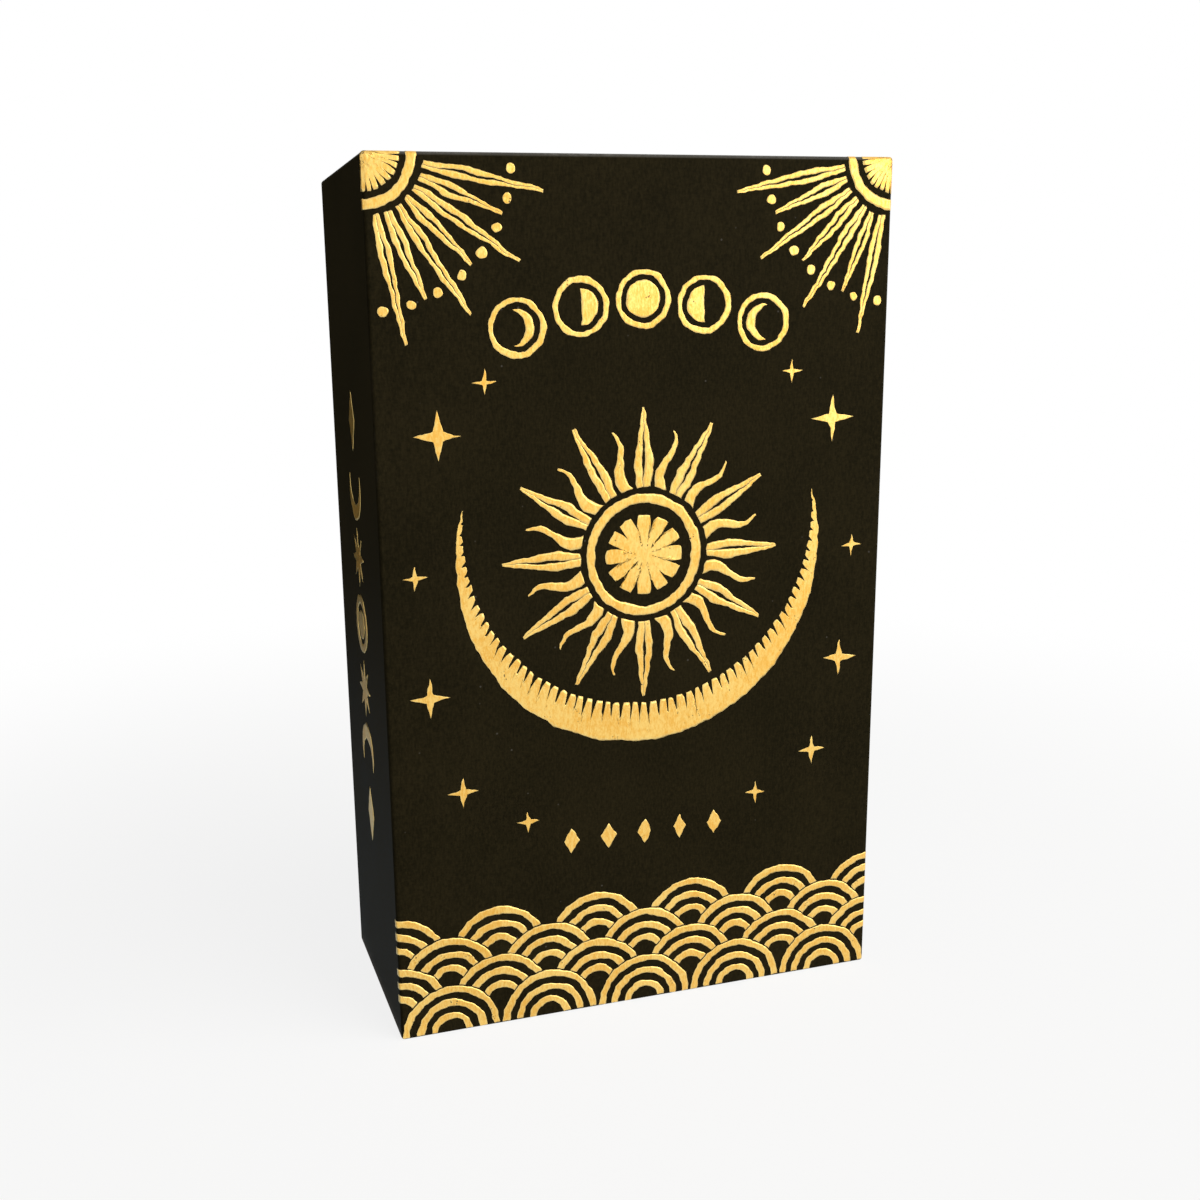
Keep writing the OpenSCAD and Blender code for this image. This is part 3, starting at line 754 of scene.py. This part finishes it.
def ranged(tree, share, first, last):
    """Value that runs from a first to a last number as a share runs from 0 to 1."""
    return calc(tree, "MULTIPLY_ADD", share, last - first, first)


def weighed(tree, first, second, share):
    """First value times its share plus second value times the rest."""
    return calc(tree, "ADD", calc(tree, "MULTIPLY", first, share), calc(tree, "MULTIPLY", second, 1 - share))


# Sockets of a mix of colours: its share, its two colours and its result
MIX_SHARE, MIX_FIRST, MIX_SECOND, MIX_RESULT = 0, 6, 7, 2


def mixed(tree, share, first, second):
    """Colour between two colours."""
    inputs = {MIX_SHARE: share}
    for socket, colour in ((MIX_FIRST, first), (MIX_SECOND, second)):
        inputs[socket] = (*colour, 1) if isinstance(colour, tuple) else colour
    return add(tree, "ShaderNodeMix", inputs, data_type="RGBA").outputs[MIX_RESULT]


def stretched(tree, position, scale):
    """Position multiplied by a scale for each axis."""
    return add(tree, "ShaderNodeVectorMath", {0: position, 1: scale}, operation="MULTIPLY").outputs[0]


def distance(tree, position):
    """How far a position is from the origin."""
    return add(tree, "ShaderNodeVectorMath", {0: position}, operation="LENGTH").outputs["Value"]


def bumped(tree, height, depth, strength):
    """Normal from a height, with the depth of its relief in metres."""
    return add(tree, "ShaderNodeBump", {"Height": height, "Distance": depth, "Strength": strength}).outputs[0]


# Shared effects. A stretch is a scale for each axis, lowest along the threads or streaks

THREADS_UPRIGHT = (1, 1, 0.4)
THREADS_LEVEL = (0.4, 0.4, 1)
FOIL_STREAKS = (1, 1, 0.4)
WIRE_STREAKS = (1, 1, 0.05)


def new_group(name, inputs, outputs):
    """Shader node group with named sockets; returns it with its inner input and output sockets."""
    tree = bpy.data.node_groups.new(name, "ShaderNodeTree")
    for label, kind in inputs:
        tree.interface.new_socket(label, in_out="INPUT", socket_type="NodeSocket" + kind)
    for label in outputs:
        tree.interface.new_socket(label, in_out="OUTPUT", socket_type="NodeSocketFloat")
    return tree, tree.nodes.new("NodeGroupInput").outputs, tree.nodes.new("NodeGroupOutput").inputs


def grain_group():
    """Grain of paper: upright and level threads of noise, and clouds. Tone is about a half, and Height
    follows the threads."""
    inputs = [("Position", "Vector"), ("Threads", "Float")]
    tree, given, put = new_group("paper_grain", inputs, ["Tone", "Height"])
    place, count = given["Position"], given["Threads"]
    upright = noise(tree, stretched(tree, place, THREADS_UPRIGHT), count, detail=3, roughness=0.6)
    level = noise(tree, stretched(tree, place, THREADS_LEVEL), count, detail=3, roughness=0.6)
    clouds = noise(tree, place, scale=60, detail=3)
    threads = weighed(tree, upright, level, share=0.65)
    tone = weighed(tree, threads, clouds, share=0.75)
    tree.links.new(between(tree, tone, low=0.3, high=0.7), put["Tone"])
    tree.links.new(threads, put["Height"])
    return tree


def speck_group():
    """Sparse specks of dust: small round spots in a few of many cells."""
    inputs = [("Position", "Vector"), ("Share", "Float")]
    tree, given, put = new_group("dust_specks", inputs, ["Speck"])
    found = cells(tree, given["Position"], scale=420.0)
    spot = between(tree, found["Distance"], low=0.09, high=0.03)
    chance = add(tree, "ShaderNodeSeparateColor", {0: found["Color"]}).outputs[0]
    chosen = calc(tree, "LESS_THAN", chance, given["Share"])
    tree.links.new(calc(tree, "MULTIPLY", spot, chosen), put["Speck"])
    return tree


def fold_mark_group():
    """Fold mask for worn paper and the head's painted highlight: strongest on the fold, gone at a set reach
    from it, broken up by noise.
    """
    inputs = [("Edge Gap", "Float"), ("Reach", "Float"), ("Position", "Vector")]
    tree, given, put = new_group("fold_wear_and_highlight", inputs, ["Wear"])
    near = between(tree, calc(tree, "DIVIDE", given["Edge Gap"], given["Reach"]), low=1.0, high=0.2)
    patches = between(tree, noise(tree, given["Position"], scale=60), low=0.45, high=0.7)
    fine = noise(tree, given["Position"], scale=1500, detail=4, roughness=0.65)
    flecks = between(tree, fine, low=0.35, high=0.7)
    wear_and_highlight = calc(tree, "MULTIPLY", patches, flecks)
    tree.links.new(calc(tree, "MULTIPLY", near, wear_and_highlight), put["Wear"])
    return tree


def foil_group():
    """Stamped foil: mottled tone, fine relief of the paper under it, and clusters of pinholes."""
    inputs = [("Position", "Vector"), ("Holes", "Float")]
    tree, given, put = new_group("stamped_foil", inputs, ["Tone", "Hole", "Height"])
    place = given["Position"]
    mottle = noise(tree, stretched(tree, place, FOIL_STREAKS), scale=3000, detail=3, roughness=0.7)
    clouds = noise(tree, place, scale=190)
    tone = weighed(tree, mottle, clouds, share=0.7)
    tree.links.new(between(tree, tone, low=0.36, high=0.64), put["Tone"])
    pit = between(tree, cells(tree, place, scale=2300.0)["Distance"], low=0.34, high=0.2)
    cluster = between(tree, noise(tree, place, scale=330), low=0.6, high=0.74)
    hole = calc(tree, "MULTIPLY", calc(tree, "MULTIPLY", pit, cluster), given["Holes"])
    tree.links.new(hole, put["Hole"])
    tree.links.new(noise(tree, place, scale=3400), put["Height"])
    return tree


GROUPS = {"grain": grain_group(), "specks": speck_group(), "fold_marks": fold_mark_group(), "foil": foil_group()}


# Finishes: two colours are a dark and a light tone, and two numbers are a first and a last value

WRAP_TONES = ((0.0124, 0.0105, 0.0049), (0.032, 0.0249, 0.0109))
# Pale tone of worn folds, and of the painted highlight along the head fold
WRAP_PALE_WEAR_AND_HIGHLIGHT = (0.15, 0.145, 0.13)
WRAP_THREADS = 3300.0
WRAP_GLOSS = 0.012
WRAP_ROUGHNESS = (0.5, 0.62)
WRAP_COAT_ROUGHNESS = 0.38
WRAP_FOLD_REACH = 0.5
# How strong the pale folds are: faintly worn away from the head, and a painted highlight at the head
WRAP_WEAR_AND_HEAD_HIGHLIGHT = (0.12, 0.9)
WRAP_POLISH_REACH = (0.6, 0.2)
WRAP_HEAD = (BOX_H - 1.5 * MM, BOX_H - 0.5 * MM)
DUST = (0.11, 0.1, 0.085)
DUST_SHARE = 0.14
DUST_COVER = 0.75

GOLD_TONES = ((0.82, 0.45, 0.08), (0.95, 0.65, 0.19))
# Painted highlight along every edge of the foil, and how much of it is mixed in
GOLD_RIM_HIGHLIGHT = (1.0, 0.8, 0.34)
GOLD_RIM_HIGHLIGHT_SHARE = 0.55
GOLD_HOLE = (0.02, 0.015, 0.007)
GOLD_ROUGHNESS = (0.42, 0.32)

BOARD_TONES = ((0.2, 0.18, 0.155), (0.32, 0.3, 0.26))
BOARD_FIBRE = (0.46, 0.42, 0.35)
BOARD_ROUGHNESS = (0.82, 0.92)
STEEL_TONES = ((0.5, 0.5, 0.5), (0.72, 0.72, 0.71))
STEEL_ROUGHNESS = (0.2, 0.4)

PLAIN_PAPERS = {
    "liner_paper": dict(tones=((0.01, 0.0095, 0.008), (0.02, 0.0185, 0.016)), threads=2600.0,
                        roughness=(0.7, 0.8), relief=0.03 * MM, gloss=0.2),
    "kraft_tape": dict(tones=((0.38, 0.25, 0.12), (0.5, 0.35, 0.18)), threads=1800.0,
                       roughness=(0.7, 0.8), relief=0.02 * MM, gloss=0.3),
    "cover_paper": dict(tones=((0.013, 0.012, 0.01), (0.024, 0.021, 0.017)), threads=2800.0,
                        roughness=(0.5, 0.6), relief=0.02 * MM, gloss=0.3),
    "leaf_paper": dict(tones=((0.76, 0.72, 0.63), (0.86, 0.83, 0.75)), threads=2400.0,
                       roughness=(0.8, 0.9), relief=0.02 * MM, gloss=0.3)}

# Cards: the print's sizes are in mm, and the lattice's line and dot are shares of its cell
CARD_BLACK = ((0.012, 0.011, 0.009), (0.022, 0.019, 0.015))
CARD_CORE = ((0.4, 0.36, 0.28), (0.74, 0.69, 0.59))
CARD_GOLD = ((0.82, 0.5, 0.11), (0.95, 0.68, 0.2))
CARD_ROUGHNESS = (0.42, 0.34)
CARD_FRAMES = ((2.6, 3.3), (4.4, 4.8))
CARD_FIELD_INSET = 6.2
CARD_FIELD_HOLE = 16.0
CARD_CELL = 7.0
CARD_MESH_LINE = 0.03
CARD_MESH_DOT = 0.4
CARD_RING = (14.0, 15.0)
CARD_STAR_POINTS = 8
CARD_STAR_TIP = 12.0
CARD_STAR_WAIST = 5.0
CARD_LAMINATE = (0.14, 0.06)
CARD_LAMINATE_COVER = 0.85


def new_material(name, **constants):
    """Material with a Principled shader; constants set its own sockets. Returns it, its tree, its shader and
    the Object coordinates."""
    material = bpy.data.materials.new(name)
    material.use_nodes = True
    tree = material.node_tree
    shader = tree.nodes["Principled BSDF"]
    for label, value in constants.items():
        shader.inputs[label.replace("_", " ")].default_value = value
    return material, tree, shader, add(tree, "ShaderNodeTexCoord").outputs["Object"]


def placed(tree, group, **inputs):
    """Outputs of a shared group placed in a material with its own values."""
    named = {label.replace("_", " "): value for label, value in inputs.items()}
    return add(tree, "ShaderNodeGroup", named, node_tree=GROUPS[group]).outputs


def feed(tree, shader, **sources):
    """Links sockets to the shader's inputs by name."""
    for label, source in sources.items():
        tree.links.new(source, shader.inputs[label.replace("_", " ")])


def wrap_paper():
    """Warm black book paper with fine threads and a few specks of dust. Its folds are worn a little pale,
    and at the head a painted highlight makes them much paler; handling has polished them there as well."""
    material, tree, shader, position = new_material(
        "wrap_paper", Specular_IOR_Level=WRAP_GLOSS, Coat_Roughness=WRAP_COAT_ROUGHNESS)
    grain = placed(tree, "grain", Position=position, Threads=WRAP_THREADS)
    gap = add(tree, "ShaderNodeAttribute", attribute_name="edge_gap").outputs["Fac"]
    fold_marks = placed(tree, "fold_marks", Edge_Gap=gap, Reach=WRAP_FOLD_REACH, Position=position)["Wear"]
    speck = placed(tree, "specks", Position=position, Share=DUST_SHARE)["Speck"]
    head = between(tree, axes(tree, position)[2], *WRAP_HEAD)
    # Pale folds: faintly worn on most of them, and much stronger at the head as a painted highlight
    wear_and_highlight = calc(tree, "MULTIPLY", fold_marks, ranged(tree, head, *WRAP_WEAR_AND_HEAD_HIGHLIGHT), clamp=True)
    near_fold = between(tree, gap, *WRAP_POLISH_REACH)
    colour = mixed(tree, grain["Tone"], *WRAP_TONES)
    colour = mixed(tree, wear_and_highlight, colour, WRAP_PALE_WEAR_AND_HIGHLIGHT)
    colour = mixed(tree, calc(tree, "MULTIPLY", speck, DUST_COVER), colour, DUST)
    feed(tree, shader, Base_Color=colour, Roughness=ranged(tree, grain["Tone"], *WRAP_ROUGHNESS),
         Coat_Weight=calc(tree, "MULTIPLY", near_fold, head),
         Normal=bumped(tree, grain["Height"], depth=0.03 * MM, strength=0.6))
    return material


def gold_foil():
    """Stamped gold: mottled, with a painted highlight along its edges, and pinholes that show the paper."""
    material, tree, shader, position = new_material("gold_foil")
    foil = placed(tree, "foil", Position=position, Holes=1.0)
    rim = add(tree, "ShaderNodeAttribute", attribute_name="rim").outputs["Fac"]
    colour = mixed(tree, foil["Tone"], *GOLD_TONES)
    # Painted highlight along the foil's edges
    colour = mixed(tree, calc(tree, "MULTIPLY", rim, GOLD_RIM_HIGHLIGHT_SHARE), colour, GOLD_RIM_HIGHLIGHT)
    colour = mixed(tree, foil["Hole"], colour, GOLD_HOLE)
    feed(tree, shader, Base_Color=colour, Metallic=calc(tree, "SUBTRACT", 1.0, foil["Hole"]),
         Roughness=ranged(tree, foil["Tone"], *GOLD_ROUGHNESS),
         Normal=bumped(tree, foil["Height"], depth=0.02 * MM, strength=0.5))
    return material


def plain_paper(name, tones, threads, roughness, relief, gloss):
    """Plain paper: two tones mixed by its grain, with the grain's relief."""
    material, tree, shader, position = new_material(name, Specular_IOR_Level=gloss)
    grain = placed(tree, "grain", Position=position, Threads=threads)
    feed(tree, shader, Base_Color=mixed(tree, grain["Tone"], *tones),
         Roughness=ranged(tree, grain["Tone"], *roughness),
         Normal=bumped(tree, grain["Height"], relief, strength=0.6))
    return material


def greyboard():
    """Raw recycled board: grey, with pale flecks of fibre."""
    material, tree, shader, position = new_material("greyboard", Specular_IOR_Level=0.2)
    grain = placed(tree, "grain", Position=position, Threads=1500.0)
    fibres = noise(tree, position, scale=900, detail=4, roughness=0.7, distortion=1.2)
    colour = mixed(tree, grain["Tone"], *BOARD_TONES)
    colour = mixed(tree, between(tree, fibres, low=0.6, high=0.7), colour, BOARD_FIBRE)
    feed(tree, shader, Base_Color=colour, Roughness=ranged(tree, grain["Tone"], *BOARD_ROUGHNESS),
         Normal=bumped(tree, grain["Height"], depth=0.06 * MM, strength=0.7))
    return material


def staple_steel():
    """Bright drawn wire with fine scratches along it."""
    material, tree, shader, position = new_material("staple_steel", Metallic=1.0)
    scratch = noise(tree, stretched(tree, position, WIRE_STREAKS), scale=9000)
    feed(tree, shader, Base_Color=mixed(tree, scratch, *STEEL_TONES),
         Roughness=ranged(tree, scratch, *STEEL_ROUGHNESS))
    return material


def within(tree, value, limits):
    """1 where a value lies between two limits."""
    above = calc(tree, "GREATER_THAN", value, limits[0])
    return calc(tree, "MULTIPLY", above, calc(tree, "LESS_THAN", value, limits[1]))


def any_of(tree, *masks):
    """Greatest of several masks."""
    total = masks[0]
    for mask in masks[1:]:
        total = calc(tree, "MAXIMUM", total, mask)
    return total


def card_print(tree, x, z):
    """Mask of a card's printed gold, from the distances to its middle in mm: frame lines at set insets, a
    slanted lattice with dots, and a ring with a star whose edge falls evenly from a tip to a waist."""
    half_w, half_h = (card_high.x - card_low.x) / 2 / MM, (card_high.z - card_low.z) / 2 / MM
    inset = calc(tree, "MINIMUM", calc(tree, "SUBTRACT", half_w, calc(tree, "ABSOLUTE", x)),
                 calc(tree, "SUBTRACT", half_h, calc(tree, "ABSOLUTE", z)))
    radius = calc(tree, "SQRT", calc(tree, "ADD", calc(tree, "MULTIPLY", x, x), calc(tree, "MULTIPLY", z, z)))
    slant = [calc(tree, "PINGPONG", calc(tree, "DIVIDE", calc(tree, way, x, z), CARD_CELL), 0.5)
             for way in ("ADD", "SUBTRACT")]
    lines = [calc(tree, "LESS_THAN", s, CARD_MESH_LINE) for s in slant]
    dots = calc(tree, "GREATER_THAN", calc(tree, "MINIMUM", *slant), CARD_MESH_DOT)
    field = calc(tree, "MULTIPLY", calc(tree, "GREATER_THAN", inset, CARD_FIELD_INSET),
                 calc(tree, "GREATER_THAN", radius, CARD_FIELD_HOLE))
    lattice = calc(tree, "MULTIPLY", any_of(tree, *lines, dots), field)
    tips = calc(tree, "MULTIPLY", calc(tree, "ARCTAN2", z, x), CARD_STAR_POINTS / FULL)
    off_tip = calc(tree, "MULTIPLY", calc(tree, "PINGPONG", tips, 0.5), 2.0)
    star_edge = ranged(tree, off_tip, CARD_STAR_TIP, CARD_STAR_WAIST)
    frames = [within(tree, inset, limits) for limits in CARD_FRAMES]
    return any_of(tree, *frames, lattice, within(tree, radius, CARD_RING),
                  calc(tree, "LESS_THAN", radius, star_edge))


def card_edge(tree, y, tone, black):
    """Colour of the cut edges: a pale core, a little different from card to card, between thin black
    faces."""
    layer = calc(tree, "MULTIPLY_ADD", y, MM / CARD_PITCH, -card_low.y / CARD_PITCH)
    each = add(tree, "ShaderNodeTexWhiteNoise", {"W": calc(tree, "FLOOR", layer)}, noise_dimensions="1D")
    core = mixed(tree, weighed(tree, tone, each.outputs["Value"], share=0.5), *CARD_CORE)
    laminate = between(tree, calc(tree, "PINGPONG", layer, 0.5), *CARD_LAMINATE)
    return mixed(tree, calc(tree, "MULTIPLY", laminate, CARD_LAMINATE_COVER), core, black)


def card_stock():
    """Black laminated card with gold print on both faces and pale cut edges."""
    material, tree, shader, position = new_material("card_stock", Specular_IOR_Level=0.35)
    middle = (card_low + card_high) / 2 / MM
    to_mm = {0: position, 1: (1 / MM,) * 3, 2: (-middle.x, 0, -middle.z)}
    x, y, z = axes(tree, add(tree, "ShaderNodeVectorMath", to_mm, operation="MULTIPLY_ADD").outputs[0])
    normal = add(tree, "ShaderNodeTexCoord").outputs["Normal"]
    face = calc(tree, "GREATER_THAN", calc(tree, "ABSOLUTE", axes(tree, normal)[1]), 0.5)
    foil = placed(tree, "foil", Position=position, Holes=0.6)
    printed = calc(tree, "MULTIPLY", card_print(tree, x, z), face)
    gold = calc(tree, "MULTIPLY", printed, calc(tree, "SUBTRACT", 1.0, foil["Hole"]))
    grain = placed(tree, "grain", Position=position, Threads=2600.0)
    black = mixed(tree, grain["Tone"], *CARD_BLACK)
    colour = mixed(tree, face, card_edge(tree, y, grain["Tone"], black), black)
    colour = mixed(tree, gold, colour, mixed(tree, foil["Tone"], *CARD_GOLD))
    feed(tree, shader, Base_Color=colour, Metallic=gold, Roughness=ranged(tree, gold, *CARD_ROUGHNESS),
         Normal=bumped(tree, grain["Height"], depth=0.01 * MM, strength=0.4))
    return material


def dress(nodes, material):
    """Gives solids that stay as they are a material."""
    for name in nodes:
        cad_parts[name].data.materials.clear()
        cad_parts[name].data.materials.append(material)


# Stage: a white floor that fades out, a dim glowing flag beside the spine, and two lamps

FLOOR_SIZE = 6.0
FLOOR_TONES = ((0.86, 0.86, 0.85), (0.88, 0.88, 0.87))
FLOOR_WHITE = 0.85
FLOOR_FADE = (0.09, 0.3)
FLOOR_BOUNCE = 0.3
AMBIENT = 0.08
FLAG_RIGHT = -0.0405
FLAG_LEFT = (-0.1, -0.45)
FLAG_BACK = 0.35
FLAG_TOP = 1.2
FLAG_LIFT = 0.5 * MM
# Flag: a sheet that glows blue near the box, seen only in reflections
FLAG_COLOUR = (0.7, 0.84, 1.0, 1)
FLAG_GLOW = (0.58, 0.0)
FLAG_FADE = (0.05, 0.36)
FLAG_GLOW_MOTTLE = (0.8, 1.2)
LAMP_AIM = (0, 0, 0.55 * BOX_H)
KEY_PLACE = (1.25, -1.15, 0.45)
KEY_SIZE = 1.8
KEY_POWER = 20.0
KEY_COLOUR = (1.0, 0.96, 0.88)
TOP_PLACE = (0.6, -0.75, 1.2)
TOP_SIZE = 1.4
TOP_POWER = 16.0
TOP_COLOUR = (1.0, 1.0, 0.98)


def stage_sheet(name, points, faces, material):
    """Sheet of the stage, from corner points and four-sided faces."""
    mesh = bpy.data.meshes.new(name)
    mesh.from_pydata(points, [], faces)
    mesh.materials.append(material)
    made = bpy.data.objects.new(name, mesh)
    bpy.context.scene.collection.objects.link(made)
    return made


def seen_rays(tree):
    """1 for rays from the camera, and for those that a metal or glass surface sends on."""
    path = add(tree, "ShaderNodeLightPath").outputs
    return any_of(tree, path["Is Camera Ray"], path["Is Glossy Ray"], path["Is Transmission Ray"])


def floor():
    """Pale floor: near the object part of it is plain white to the camera and the rest is lit and keeps the
    shadow. Farther out, and where metal mirrors it, it is all white. It throws little light back."""
    material, tree, shader, position = new_material("floor_paint", Specular_IOR_Level=0.0, Roughness=1.0)
    paint = mixed(tree, noise(tree, position, scale=9), *FLOOR_TONES)
    path = add(tree, "ShaderNodeLightPath").outputs
    feed(tree, shader, Base_Color=mixed(tree, path["Is Diffuse Ray"], paint, (FLOOR_BOUNCE,) * 3))
    white = add(tree, "ShaderNodeEmission").outputs[0]
    share = ranged(tree, between(tree, distance(tree, position), *FLOOR_FADE), FLOOR_WHITE, 1.0)
    share = calc(tree, "MULTIPLY", seen_rays(tree), any_of(tree, path["Is Glossy Ray"], share))
    both = add(tree, "ShaderNodeMixShader", {0: share, 1: shader.outputs[0], 2: white}).outputs[0]
    tree.links.new(both, tree.nodes["Material Output"].inputs["Surface"])
    s = FLOOR_SIZE / 2
    stage_sheet("floor", [(-s, -s, 0), (s, -s, 0), (s, s, 0), (-s, s, 0)], [(0, 1, 2, 3)], material)


def dark_flag():
    """Dim blue glowing sheet beside and behind the set, which only mirror-like rays see, so that the spine
    has something dim and bluish to reflect. It lies on the floor as a wedge, hangs at its back, and darkens
    with the distance."""
    material, tree, shader, position = new_material(
        "flag_glow_sheet", Base_Color=(0, 0, 0, 1), Emission_Color=FLAG_COLOUR,
        Specular_IOR_Level=0.0, Roughness=1.0)
    # Glow of the flag, mottled by noise and fading with the distance
    glow_mottle = ranged(tree, noise(tree, position, scale=40), *FLAG_GLOW_MOTTLE)
    fade = {"Value": distance(tree, position), "From Min": FLAG_FADE[0], "From Max": FLAG_FADE[1],
            "To Min": FLAG_GLOW[0], "To Max": FLAG_GLOW[1]}
    glow = add(tree, "ShaderNodeMapRange", fade).outputs[0]
    feed(tree, shader, Emission_Strength=calc(tree, "MULTIPLY", glow, glow_mottle))
    near, far = FLAG_LEFT
    laid = [(near, FRONT), (FLAG_RIGHT, FRONT), (FLAG_RIGHT, FLAG_BACK), (far, FLAG_BACK)]
    points = [(x, y, FLAG_LIFT) for x, y in laid] + [(x, y, FLAG_TOP) for x, y in laid[2:]]
    flag = stage_sheet("flag", points, [(0, 1, 2, 3), (3, 2, 4, 5)], material)
    flag.visible_camera = flag.visible_diffuse = flag.visible_shadow = False
    flag.visible_transmission = flag.visible_volume_scatter = False


def lamp(name, place, size, power, colour, mirrored):
    """Square soft lamp that looks at the object. Mirror-like surfaces show it only where it is mirrored."""
    data = bpy.data.lights.new(name, "AREA")
    data.size = size
    data.energy = power
    data.color = colour
    made = bpy.data.objects.new(name, data)
    made.location = place
    made.visible_glossy = mirrored
    made.rotation_euler = (Vector(LAMP_AIM) - Vector(place)).to_track_quat("-Z", "Y").to_euler()
    bpy.context.scene.collection.objects.link(made)


def light():
    """White world for the rays that are seen, dimmer for the rest, a large warm lamp from the right and one
    overhead."""
    world = bpy.data.worlds.new("studio")
    bpy.context.scene.world = world
    world.use_nodes = True
    tree = world.node_tree
    background = tree.nodes["Background"]
    background.inputs["Color"].default_value = (1, 1, 1, 1)
    tree.links.new(ranged(tree, seen_rays(tree), AMBIENT, 1.0), background.inputs["Strength"])
    lamp("key", KEY_PLACE, KEY_SIZE, KEY_POWER, KEY_COLOUR, mirrored=True)
    lamp("top", TOP_PLACE, TOP_SIZE, TOP_POWER, TOP_COLOUR, mirrored=False)
    bpy.context.scene.view_settings.view_transform = "Standard"


# The object

aim_camera()
wrap = wrap_paper()
gold = gold_foil()
paper_half("lid_paper", lid_low, lid_high, -1, wrap, "lid", "lid_wrap")
paper_half("tray_paper", tray_low, tray_high, 1, wrap, "tray", "tray_wrap")

stamp("sun_foil", sun_grids(), gold, "lid", ["foil_sun"])
stamp("crescent_foil", crescent_grids(), gold, "lid", ["foil_crescent"])
stamp("moon_phase_foil", phase_grids(), gold, "lid", ["foil_moon_phases"])
stamp("corner_fan_foil", fan_grids(), gold, "lid", ["foil_corner_fans"])
stamp("wave_foil", wave_grids(), gold, "lid", ["foil_waves"])
stamp("star_foil", star_grids(), gold, "lid", ["foil_stars"])
stamp("spine_foil", spine_grids(), gold, "lid", ["foil_spine"])
stamp("booklet_foil", emblem_grids(), gold, "guide_booklet", ["guide_emblem"], on_booklet)
piece("staples", staple_shapes(), staple_steel(), "guide_booklet", ["guide_staples"])

papers = {name: plain_paper(name, **finish) for name, finish in PLAIN_PAPERS.items()}
names = sorted(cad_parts)
dress([n for n in names if n.endswith("_board")], greyboard())
dress([n for n in names if n.endswith("_liner")], papers["liner_paper"])
dress([n for n in names if n.endswith("_stays")], papers["kraft_tape"])
dress(["guide_cover"], papers["cover_paper"])
dress(["guide_sheets"], papers["leaf_paper"])
dress([n for n in names if n.startswith("major_card_") or n.endswith("_cards")], card_stock())

floor()
dark_flag()
light()
